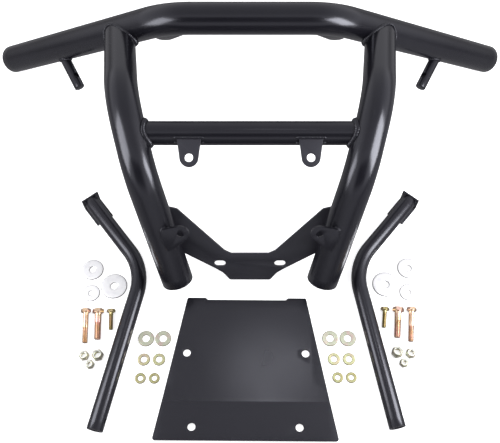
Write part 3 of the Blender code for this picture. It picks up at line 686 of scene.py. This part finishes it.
        # ear under the rail's bend
        root_way = Vector((-s * 0.57, -0.82, 0))
        tip = Vector((s * 122.0, 31.3, RAIL_Z - 14.0))
        ear_face = frame_of(tip, root_way.cross(Vector((0, 0, -1))), root_way)
        if (ear_face.to_3x3() @ Vector((0, 0, 1))).z > 0:
            ear_face = ear_face @ Matrix.Translation((0, 0, -EAR_T))
        ear = plate(f"rail_ear_{side}", ear_outline(15.5, 12.2, 34.0), EAR_T, ear_face, BLACK, G)
        cut(ear, rail_core)
        bevel(ear, 0.4)
        settle(ear, 40, biggest=True)
        finish_piece(ear, "guard", "black_powder_coat", f"rail_tab_{side}")

        # stub under the wing
        along = (STUB_ROOT_X - RAIL_CORNER_X) / math.cos(RAIL_SWEEP)
        stub_root = mirror(Vector((RAIL_CORNER_X, 0, RAIL_Z)) + wing_way * along, s)
        stub_tip = mirror(Vector(STUB_TIP), s)
        down = (stub_tip - stub_root).normalized()
        stub = pipe(f"stub_bar_{side}", [stub_root, stub_tip], STUB_R, None, 48, BLACK, G, lip=1.1)
        aim = (inward * 0.75 + Vector((0, -0.66, 0)))
        aim = (aim - aim.dot(down) * down).normalized()
        hole = drill(stub_tip - down * 19.0, aim, STUB_HOLE_R, 20, G)
        cut(stub, rail_core)
        cut(stub, hole)
        bevel(stub, 0.3, 2, 50)
        settle(stub, 40, biggest=True)
        cutter_done(hole)
        finish_piece(stub, "guard", "black_powder_coat", f"wing_stub_{side}")
        pts, nor, ang = weld_round(stub_tip, -down, STUB_R, (0, 0, 1), rail_tree, G, count=80, offset=0.5)
        if pts:
            bead(f"weld_stub_{side}", pts, nor, 2.5, G, WELD, "guard", closed=True, seed=41.0 + s)

    cutter_done(rail_core, cross_core)


# ------------------------------------------------------------------ the braces
BRACE_TURN, BRACE_BEND_R = math.radians(50.2), 80.0
BRACE_LOWER, BRACE_UPPER, BRACE_HOLE_R = 234.4, 143.5, 8.7 / 2
BRACKET_T, BRACKET_FLANGE, BRACKET_OUTER, BRACKET_INNER = 3.0, 34.0, 13.2, 15.0


def build_brace(side, s, corner, heading):
    tilt = 0.0110
    place = (Matrix.Translation(Vector((corner[0], corner[1] + SLIDE, 0))) @ Matrix.Rotation(heading, 4, "Z")
             @ Matrix.Translation((0, -BRACE_LOWER, 0)) @ Matrix.Rotation(tilt, 4, "X") @ Matrix.Translation((0, BRACE_LOWER, 0)))
    rise = BRACE_R + 0.05
    upper = Vector((s * math.sin(BRACE_TURN), math.cos(BRACE_TURN), 0))
    tip = Vector((0, 0, rise)) + upper * BRACE_UPPER
    path = fillet_path([(0, -BRACE_LOWER, rise), (0, 0, rise), tip], BRACE_BEND_R, 1.5)
    body = pipe(f"brace_pipe_{side}", path, BRACE_R, BRACE_WALL, 56, BLACK, place, lip=0.5)
    hole = drill((0, -BRACE_LOWER + 14.0, rise), (1, 0, 0), BRACE_HOLE_R, 20, place)
    cut(body, hole)
    bevel(body, 0.25, 2, 55)
    settle(body, 40)
    cutter_done(hole)
    finish_piece(body, f"brace_{side}", "black_powder_coat", f"brace_tube_{side}")

    inward = Vector((upper.y, -upper.x, 0)) * -s
    reach, low_z = GAP + BRACKET_T, -BRACE_R - GAP
    profile = [(reach, BRACE_R), (GAP, BRACE_R), (GAP, low_z), (-BRACKET_FLANGE, low_z),
               (-BRACKET_FLANGE, low_z - BRACKET_T), (reach, low_z - BRACKET_T)]
    profile = rounded(profile, [0.6, 0.6, 0.3, 0.5, 0.5, 2.6], 6)
    lie = frame_of(tip, upper, (0, 0, 1))
    across = (lie.to_3x3() @ Vector((0, 0, 1))).dot(inward)
    start = -BRACKET_OUTER if across > 0 else -BRACKET_INNER
    bracket = plate(f"brace_end_{side}", profile, BRACKET_OUTER + BRACKET_INNER, lie @ Matrix.Translation((0, 0, start)), BLACK, place)
    r, w = 6.0, -BRACKET_OUTER
    corner_line = [(-BRACKET_FLANGE - 2, w - 2), (-BRACKET_FLANGE - 2, w + r)]
    corner_line += [(-BRACKET_FLANGE + r - r * math.cos(t), w + r - r * math.sin(t)) for t in (math.pi / 32 * k for k in range(17))]
    corner_line += [(-BRACKET_FLANGE + r, w - 2)]
    flat = frame_of(tip, upper, inward)
    inner_line = [(-BRACKET_FLANGE - 2, 9.5), (-8.0, 9.5), (0.5, 17.0), (-BRACKET_FLANGE - 2, 17.0)]
    outer_line = [(5.0, -11.3), (-15.0, -11.3), (-18.6, -15.2), (5.0, -15.2)]
    for line in (corner_line, inner_line, outer_line):
        trim = plate("trim", line, 60, flat @ Matrix.Translation((0, 0, -30)), None, place)
        cut(bracket, trim)
        cutter_done(trim)
    bevel(bracket, 0.35, 2)
    settle(bracket, 40)
    finish_piece(bracket, f"brace_{side}", "black_powder_coat", f"brace_bracket_{side}")

    # short fillets where the tube's end meets the bracket's wall, either side
    for which, lean in (("in", 1), ("out", -1)):
        pts, nor = [], []
        for k in range(13):
            t = math.radians(-62 + 104 * k / 12)
            out = inward * lean * math.cos(t) + Vector((0, 0, 1)) * math.sin(t)
            pts.append(tip + out * (BRACE_R + 0.4) - upper * 0.5)
            nor.append(out - upper)
        bead(f"weld_brace_{which}_{side}", pts, nor, 1.7, place, WELD, f"brace_{side}", seed=50.0 + s * lean)


# ------------------------------------------------------------------ the skid plate
SKID_TOP, SKID_BOTTOM, SKID_LENGTH, SKID_T = 171.6, 247.6, 201.0, 3.0
SKID_FOLD, SKID_FOLD_ANGLE, SKID_EAR, SKID_NOTCH, SKID_HOLE_R = 52.0, math.radians(2.5), 26.5, 3.0, 10.7 / 2


def build_skid_plate():
    place = Matrix.Translation((-4.6, -75.5 + SLIDE, 0)) @ Matrix.Rotation(math.radians(-0.42), 4, "Z")
    wide = lambda y: SKID_TOP / 2 + (SKID_BOTTOM - SKID_TOP) / 2 * y / SKID_LENGTH
    half = [(wide(SKID_LENGTH), -SKID_LENGTH), (wide(0), 0), (wide(0) - SKID_EAR, 0), (wide(0) - SKID_EAR - 2.5, -SKID_NOTCH)]
    points = half + [(-x, y) for x, y in half[::-1]]
    radii = [3.0, 2.6, 1.6, 2.2, 2.2, 1.6, 2.6, 3.0]
    outline = rounded(points, radii, 8)
    work = bmesh.new()
    ring = [work.verts.new((x, y, 0)) for x, y in outline]
    work.faces.new(ring)
    fold_y = -(SKID_LENGTH - SKID_FOLD)
    cuts = [fold_y + 7 - 14 * k / 10 for k in range(11)]
    cuts += [y for y in np.arange(-SKID_LENGTH + 6, -3.5, 12.0) if abs(y - fold_y) > 9]
    for y in cuts:
        bmesh.ops.bisect_plane(work, geom=work.verts[:] + work.edges[:] + work.faces[:], plane_co=(0, y, 0), plane_no=(0, 1, 0))
    for x in np.arange(-110, 111, 20.0):
        bmesh.ops.bisect_plane(work, geom=work.verts[:] + work.edges[:] + work.faces[:], plane_co=(x, 0, 0), plane_no=(1, 0, 0))
    up = bmesh.ops.extrude_face_region(work, geom=work.faces[:])
    bmesh.ops.translate(work, verts=[v for v in up["geom"] if isinstance(v, bmesh.types.BMVert)], vec=(0, 0, SKID_T))
    # the lower border bends up on a soft radius
    half_width = 7.0
    for v in work.verts:
        d = fold_y + half_width - v.co.y
        if d > 0:
            bend = SKID_FOLD_ANGLE * min(1.0, d / (2 * half_width))
            radius = 2 * half_width / SKID_FOLD_ANGLE
            over = max(0.0, d - 2 * half_width)
            z = v.co.z
            y = fold_y + half_width - radius * math.sin(bend) - over * math.cos(bend) + z * math.sin(bend)
            h = radius * (1 - math.cos(bend)) + over * math.sin(bend) + z * math.cos(bend)
            v.co.y, v.co.z = y, h
    m = np.array(place)
    for v in work.verts:
        v.co = (place @ v.co) * MM
    mesh = bpy.data.meshes.new("skid_sheet")
    bmesh.ops.recalc_face_normals(work, faces=work.faces)
    work.to_mesh(mesh)
    work.free()
    mesh.materials.append(BLACK_FLAT)
    skid = bpy.data.objects.new("skid_sheet", mesh)
    bpy.context.scene.collection.objects.link(skid)
    holes = []
    for s in (-1, 1):
        holes.append(drill((s * 83.0, -82.0, 0), (0, 0, 1), SKID_HOLE_R, 20, place))
        down = 183.5 + fold_y
        centre = (s * 72.0, fold_y - down * math.cos(SKID_FOLD_ANGLE), down * math.sin(SKID_FOLD_ANGLE))
        holes.append(drill(centre, (0, math.sin(SKID_FOLD_ANGLE), math.cos(SKID_FOLD_ANGLE)), SKID_HOLE_R, 20, place))
    for hole in holes:
        cut(skid, hole)
    bevel(skid, 0.4)
    settle(skid, 40)
    cutter_done(*holes)
    # second material slot: the painted-shade coat for the border past the fold
    skid.data.materials.append(BORDER_SHADE_COAT)
    back = place.inverted()
    for face in skid.data.polygons:      # past the fold a weaker-reflecting copy of the coat paints shade on the folded border
        if (back @ (face.center / MM)).y < fold_y:
            face.material_index = 1
    finish_piece(skid, "skid_plate", "black_powder_coat", "skid_plate")


# ------------------------------------------------------------------ hardware
SIZES = {
    "3_8": (9.525 / 2, 14.29 / 2, 6.0, 38.1, 11.0, 25.4 / 16, 25.0),
    "5_16": (7.94 / 2, 12.7 / 2, 5.3, 44.45, 8.7, 25.4 / 18, 22.5),
    "1_4": (6.35 / 2, 11.11 / 2, 4.2, 25.4, 7.9, 25.4 / 20, 22.5),
}
FENDER = {"3_8": (19.05, 5.2, 1.8), "5_16": (15.9, 4.5, 1.6), "1_4": (12.7, 3.6, 1.3)}
FLAT = {"3_8": (11.3, 5.2, 1.7), "5_16": (8.75, 4.3, 1.6), "1_4": (7.6, 3.5, 1.4)}


def hex_reach(t, r):
    return r / math.cos((t % (math.pi / 3)) - math.pi / 6)


def grid(name, rows, mat, place, closed=False):
    """rows of equally many points, or single points at the ends."""
    verts, faces, index = [], [], []
    for row in rows:
        index.append(list(range(len(verts), len(verts) + len(row))))
        verts += row
    pairs = list(zip(index, index[1:])) + ([(index[-1], index[0])] if closed else [])
    for a, b in pairs:
        n = max(len(a), len(b))
        for k in range(n):
            j = (k + 1) % n
            if len(a) == 1:
                faces.append((a[0], b[k], b[j]))
            elif len(b) == 1:
                faces.append((a[k], b[0], a[j]))
            else:
                faces.append((a[k], a[j], b[j], b[k]))
    return raw_object(name, to_world(verts, place), faces, mat)


def thread_depth(z, t, pitch, hand=1):
    u = (z / pitch - hand * t / (2 * math.pi)) % 1.0
    v = abs(2 * u - 1)
    return min(1.0, max(0.0, (v - 0.12) / 0.70))   # 0 on the root, 1 on the crest


def build_bolt(name, size, x, y, heading, body, cad):
    r, flat, head, length, _, pitch, threaded = SIZES[size]
    sides = 72
    angles = [2 * math.pi * k / sides for k in range(sides)]
    circle = lambda rad, z: [Vector((rad * math.cos(t), rad * math.sin(t), z)) for t in angles]
    depth = 0.60 * pitch
    tip_r = r - depth * 0.95
    rows = [[Vector((0, 0, -length))], circle(tip_r - 0.5, -length), circle(tip_r, -length + 0.05)]
    z, step = -length + 0.15, pitch / 7
    run_out = -length + threaded
    while z < run_out:
        fade = min(1.0, (run_out - z) / (pitch * 1.4))
        row = []
        for t in angles:
            rad = r - depth * fade * (1 - thread_depth(z, t, pitch))
            rad = min(rad, tip_r + (z + length) * 1.0)
            row.append(Vector((rad * math.cos(t), rad * math.sin(t), z)))
        rows.append(row)
        z += step
    rows.append(circle(r, run_out + 0.1))
    for k in range(1, 5):
        rows.append(circle(r, run_out + 0.1 + (-1.0 - run_out) * k / 4))
    # fillet under the head, washer face, hex with its cone chamfer
    rows += [circle(r + 0.12, -0.45), circle(r + 0.45, -0.12), circle(r + 0.9, 0.0), circle(flat * 0.955, 0.0), circle(flat * 0.965, 0.32)]
    cone = flat * 0.97
    hexed = lambda z_of, grow=0.0: [Vector(((hex_reach(t, flat) - grow) * math.cos(t), (hex_reach(t, flat) - grow) * math.sin(t), z_of(t))) for t in angles]
    fall = lambda t: max(0.0, hex_reach(t, flat) - cone) * math.tan(math.radians(30))
    rows += [hexed(lambda t: 0.36, 0.12), hexed(lambda t: 0.50), hexed(lambda t: head * 0.5),
             hexed(lambda t: head - fall(t) - 0.16), hexed(lambda t: head - fall(t) - 0.03, 0.10), circle(cone - 0.35, head), circle(cone * 0.55, head), [Vector((0, 0, head))]]
    dip = math.atan2(flat - r, length)
    place = (Matrix.Translation(Vector((x, y + SLIDE, flat + 0.1))) @ Matrix.Rotation(heading, 4, "Z") @ Matrix.Rotation(-(math.pi / 2 - dip), 4, "X"))
    thing = grid(name, rows, BOLT_14 if size == "1_4" else BOLT, place)
    settle(thing, 34)
    finish_piece(thing, body, "yellow_zinc", cad)


def build_nut(name, size, x, y, body):
    r, flat, _, _, height, pitch, _ = SIZES[size]
    sides = 72
    angles = [2 * math.pi * k / sides for k in range(sides)]
    circle = lambda rad, z: [Vector((rad * math.cos(t), rad * math.sin(t), z)) for t in angles]
    shoulder, crown = height * 0.68, flat * 0.90
    seat, inner = height * 0.70, flat * 0.80
    cone = flat * 0.965
    fall = lambda t: max(0.0, hex_reach(t, flat) - cone) * math.tan(math.radians(30))
    hexed = lambda z_of, grow=0.0: [Vector(((hex_reach(t, flat) - grow) * math.cos(t), (hex_reach(t, flat) - grow) * math.sin(t), z_of(t))) for t in angles]
    depth = 0.55 * pitch
    rows = [circle(r + 0.35, 0.0), circle(cone - 0.3, 0.0), hexed(lambda t: fall(t) + 0.05, 0.12), hexed(lambda t: fall(t) + 0.20), hexed(lambda t: shoulder * 0.5),
            hexed(lambda t: shoulder - fall(t) - 0.25), hexed(lambda t: shoulder - fall(t) - 0.10, 0.12), circle(crown + 0.18, shoulder), circle(crown, shoulder + 0.22),
            circle(crown, height - 1.0), circle(crown - 0.18, height - 0.45), circle(crown - 0.5, height - 0.10), circle(crown - 0.9, height), circle(inner + 0.15, height - 0.02), circle(inner, height - 0.25)]
    rows += [circle(inner, seat), circle(r + 0.2, seat)]
    z = seat - 0.15
    step = pitch / 6
    while z > 0.5:
        rows.append([Vector(((r - depth * thread_depth(z, t, pitch) * 0.8) * math.cos(t), (r - depth * thread_depth(z, t, pitch) * 0.8) * math.sin(t), z)) for t in angles])
        z -= step
    rows.append(circle(r, 0.35))
    place = Matrix.Translation((x, y + SLIDE, 0)) @ Matrix.Rotation(math.radians(12), 4, "Z")
    thing = grid(name, rows, NUT, place, closed=True)
    settle(thing, 34)
    finish_piece(thing, body, "yellow_zinc", name.replace("hex_nut", "lock_nut"))
    low_z, top_z, i, o = seat + 0.3, height - 0.4, r * 0.94, inner - 0.3
    rows = [circle(i, low_z + 0.2), circle(i + 0.2, low_z), circle(o - 0.2, low_z), circle(o, low_z + 0.2), circle(o, top_z - 0.4), circle(o - 0.15, top_z - 0.12),
            circle((i + o) / 2 + 0.2, top_z), circle((i + o) / 2 - 0.1, top_z), circle(i + 0.2, top_z - 0.15), circle(i, top_z - 0.45)]
    ring = grid(name.replace("hex_nut", "nylon_ring"), rows, NYLON, place, closed=True)
    settle(ring, 50)
    finish_piece(ring, body, "nylon", name.replace("hex_nut", "nut_insert"))


def build_washer(name, cad, outer, hole, thick, x, y, mat, body, slot, dish=0.0):
    sides = 96
    angles = [2 * math.pi * k / sides for k in range(sides)]
    circle = lambda rad, z: [Vector((rad * math.cos(t), rad * math.sin(t), z)) for t in angles]
    e, h = 0.28, thick
    rise = lambda rad: dish * (1 - (rad - hole) / (outer - hole))
    rows = [circle(hole + 0.1, 0.0), circle(outer - e, 0.0), circle(outer - 0.06, e * 0.4), circle(outer, e)]
    rows += [circle(outer, h - e * 1.4), circle(outer - 0.10, h - e * 0.6), circle(outer - 0.30, h - 0.12), circle(outer - 0.65, h)]
    for k in range(1, 6):
        rad = outer - 0.65 + (hole + 0.55 - outer + 0.65) * k / 6
        rows.append(circle(rad, h + rise(rad) * 0))
    rows += [circle(hole + 0.40, h), circle(hole + 0.15, h - 0.08), circle(hole, h - 0.25), circle(hole, 0.12)]
    thing = grid(name, rows, mat, Matrix.Translation((x, y + SLIDE, 0)), closed=True)
    thing.data.materials.append(WASHER_RIM_SHADE if mat is BRIGHT else FLAT_RIM_SHADE)
    for face in thing.data.polygons:      # the rolled rims of rim and hole get a darker plating: painted shade outlining each washer
        away = math.hypot(face.center.x / MM - x, face.center.y / MM - y - SLIDE)
        if away > outer - 0.66 or away < hole + 0.41:
            face.material_index = 1
    settle(thing, 40)
    finish_piece(thing, body, slot, cad)


def build_hardware():
    sides = {
        "left": {
            "bolt": {"5_16": (-235, -96.3, 3.7), "3_8": (-217, -97.2, 3.4), "1_4": (-199, -96.2, 3.3)},
            "lock_nut": {"5_16": (-231.5, -161), "3_8": (-212.3, -160.7), "1_4": (-222, -173.7)},
            "fender": {"5_16": (-233.3, -30), "3_8": (-199.2, -56.2), "1_4": (-231.7, -67)},
            "flat": {"3_8": (-146.9, -122.8, -135.8), "5_16": (-148, -126.8, -166), "1_4": (-151, -131.8, -192.4)},
        },
        "right": {
            "bolt": {"5_16": (231.6, -94.3, -6.7), "3_8": (212, -94.7, -6.5), "1_4": (193.4, -93.2, -6.8)},
            "lock_nut": {"5_16": (224.6, -158), "3_8": (205.7, -156.5), "1_4": (213.6, -171.6)},
            "fender": {"5_16": (234.6, -27.6), "3_8": (198.7, -53.3), "1_4": (231.0, -65.6)},
            "flat": {"3_8": (113.3, 138.2, -135.7), "5_16": (117, 138, -165.5), "1_4": (121, 139.6, -191.4)},
        },
    }
    tint = {"3_8": FLAT_38, "5_16": FLAT_516, "1_4": FLAT_14}
    for side, kinds in sides.items():
        body = f"hardware_{side}"
        for size, (x, y, turn) in kinds["bolt"].items():
            build_bolt(f"threaded_bolt_{size}_{side}", size, x, y - SIZES[size][2] / 2, math.radians(turn), body, f"bolt_{size}_{side}")
        for size, (x, y) in kinds["lock_nut"].items():
            build_nut(f"hex_nut_{size}_{side}", size, x, y, body)
        for size, (x, y) in kinds["fender"].items():
            build_washer(f"wide_washer_{size}_{side}", f"fender_washer_{size}_{side}", *FENDER[size], x, y, BRIGHT, body, "bright_zinc")
        for size, (x_outer, x_inner, y) in kinds["flat"].items():
            for where, x in (("a", x_outer), ("b", x_inner)):
                build_washer(f"plain_washer_{size}_{side}_{where}", f"flat_washer_{size}_{side}_{where}", *FLAT[size], x, y, tint[size], body, "yellow_zinc")


# ------------------------------------------------------------------ camera, floor and light
def build_stage():
    scene = bpy.context.scene
    lens = bpy.data.cameras.new("camera")
    lens.lens, lens.sensor_width, lens.clip_end = 50.4, 36.0, 20.0
    camera = bpy.data.objects.new("camera", lens)
    scene.collection.objects.link(camera)
    pitch, distance = math.radians(27.2), 0.965
    camera.location = (0, -distance * math.sin(pitch) + SLIDE * MM, distance * math.cos(pitch) + 0.0989)
    camera.rotation_euler = (pitch, 0, 0)
    scene.camera = camera
    scene.view_settings.view_transform = "Standard"

    mesh = bpy.data.meshes.new("floor")
    reach = 4.0
    mesh.from_pydata([(-reach, -reach, 0), (reach, -reach, 0), (reach, reach, 0), (-reach, reach, 0)], [], [(0, 1, 2, 3)])
    floor = bpy.data.objects.new("floor", mesh)
    scene.collection.objects.link(floor)
    mat, tree, shader = new_material("floor_white")
    shader.inputs["Base Color"].default_value = (0.86, 0.86, 0.86, 1)
    shader.inputs["Roughness"].default_value = 0.9
    shader.inputs["Specular IOR Level"].default_value = 0.1
    shader.inputs["Emission Color"].default_value = (1, 1, 1, 1)
    shader.inputs["Emission Strength"].default_value = 0.72
    mesh.materials.append(mat)
    floor.location.z = -0.0004
    floor.visible_glossy = False

    # a plain white backdrop all round, which only the camera sees
    bpy.ops.mesh.primitive_uv_sphere_add(segments=48, ring_count=24, radius=9.0)
    dome = bpy.context.object
    dome.name = "backdrop"
    mat, tree, shader = new_material("backdrop_white")
    shader.inputs["Base Color"].default_value = (0.0, 0.0, 0.0, 1)
    shader.inputs["Emission Color"].default_value = (1, 1, 1, 1)
    shader.inputs["Emission Strength"].default_value = 1.1
    dome.data.materials.append(mat)
    dome.visible_glossy = dome.visible_diffuse = dome.visible_shadow = False
    dome.visible_transmission = dome.visible_volume_scatter = False

    # the studio round it: a pale canopy overhead and behind, a dark gap on the camera's side,
    # a pale strip at the front horizon and a dim floor
    world = bpy.data.worlds.new("studio")
    scene.world = world
    world.use_nodes = True
    tree = world.node_tree
    background = tree.nodes["Background"]
    coord = tree.nodes.new("ShaderNodeTexCoord")
    split = tree.nodes.new("ShaderNodeSeparateXYZ")
    tree.links.new(coord.outputs["Generated"], split.inputs[0])

    def math_node(kind, a, b=None, c=None):
        n = tree.nodes.new("ShaderNodeMath")
        n.operation = kind
        for i, v in enumerate((a, b, c)):
            if v is None:
                continue
            if isinstance(v, (int, float)):
                n.inputs[i].default_value = v
            else:
                tree.links.new(v, n.inputs[i])
        return n.outputs[0]

    front = math_node("MULTIPLY", split.outputs["Y"], -1.0)
    tip = math_node("ARCTAN2", front, split.outputs["Z"])          # 0 overhead, + towards the camera's side
    turn = math_node("MULTIPLY_ADD", tip, 0.5 / math.pi, 0.5)
    grey = lambda v: (v * 0.965, v * 0.96, v)
    at = lambda degrees: 0.5 + degrees / 360.0
    middle = ramp(tree, turn, [(at(-180), grey(0.35)), (at(-104), grey(0.22)), (at(-94), grey(0.75)), (at(-60), grey(0.86)),
                               (at(0), grey(0.58)), (at(16), grey(0.62)), (at(25), grey(0.86)), (at(33), grey(0.84)), (at(38), grey(0.05)),
                               (at(66), grey(0.05)), (at(74), grey(0.78)), (at(90), grey(0.74)), (at(98), grey(0.2)), (at(130), grey(0.13)),
                               (at(180), grey(0.5))])
    sides = ramp(tree, math_node("MULTIPLY_ADD", split.outputs["Z"], 0.5, 0.5),
                 [(0.0, grey(0.35)), (0.40, grey(0.45)), (0.47, grey(0.15)), (0.53, grey(0.5)), (0.62, grey(1.3)), (0.85, grey(1.0)), (1.0, grey(0.7))])
    wide = math_node("ABSOLUTE", split.outputs["X"])
    blend = tree.nodes.new("ShaderNodeMapRange")
    blend.interpolation_type = "SMOOTHSTEP"
    tree.links.new(wide, blend.inputs["Value"])
    blend.inputs["From Min"].default_value, blend.inputs["From Max"].default_value = 0.30, 0.62
    mixer = tree.nodes.new("ShaderNodeMix")
    mixer.data_type = "RGBA"
    tree.links.new(blend.outputs["Result"], mixer.inputs["Factor"])
    tree.links.new(middle, mixer.inputs["A"])
    tree.links.new(sides, mixer.inputs["B"])
    tree.links.new(mixer.outputs["Result"], background.inputs["Color"])
    background.inputs["Strength"].default_value = 1.0

    def softbox(name, where, aim, size, radiance, spread=180):
        """A rectangular light of one even brightness, which the camera doesn't see."""
        light = bpy.data.lights.new(name, "AREA")
        light.shape, light.size, light.size_y = "RECTANGLE", size[0], size[1]
        light.energy = radiance * math.pi * size[0] * size[1]
        light.color = (0.98, 0.98, 1.0)
        light.spread = math.radians(spread)
        thing = bpy.data.objects.new(name, light)
        scene.collection.objects.link(thing)
        thing.location = where
        thing.rotation_euler = (Vector(aim) - Vector(where)).to_track_quat("-Z", "Y").to_euler()
        thing.visible_camera = False

    softbox("left_box", (-0.54, -0.15, 0.42), (-0.12, 0.05, 0.12), (0.28, 0.42), 6.8)
    softbox("right_box", (0.54, -0.15, 0.42), (0.12, 0.05, 0.12), (0.28, 0.42), 12.5)
    softbox("top_box", (0.062, 0.078 + SLIDE * MM, 0.98), (0.034, -0.198 + SLIDE * MM, 0.0), (0.16, 0.12), 0.27, spread=34)


build_stage()
build_guard()
build_brace("left", -1, (-155.3, -35.2), math.radians(-12.2))
build_brace("right", 1, (152.9, -30.4), math.radians(10.3))
build_skid_plate()
build_hardware()
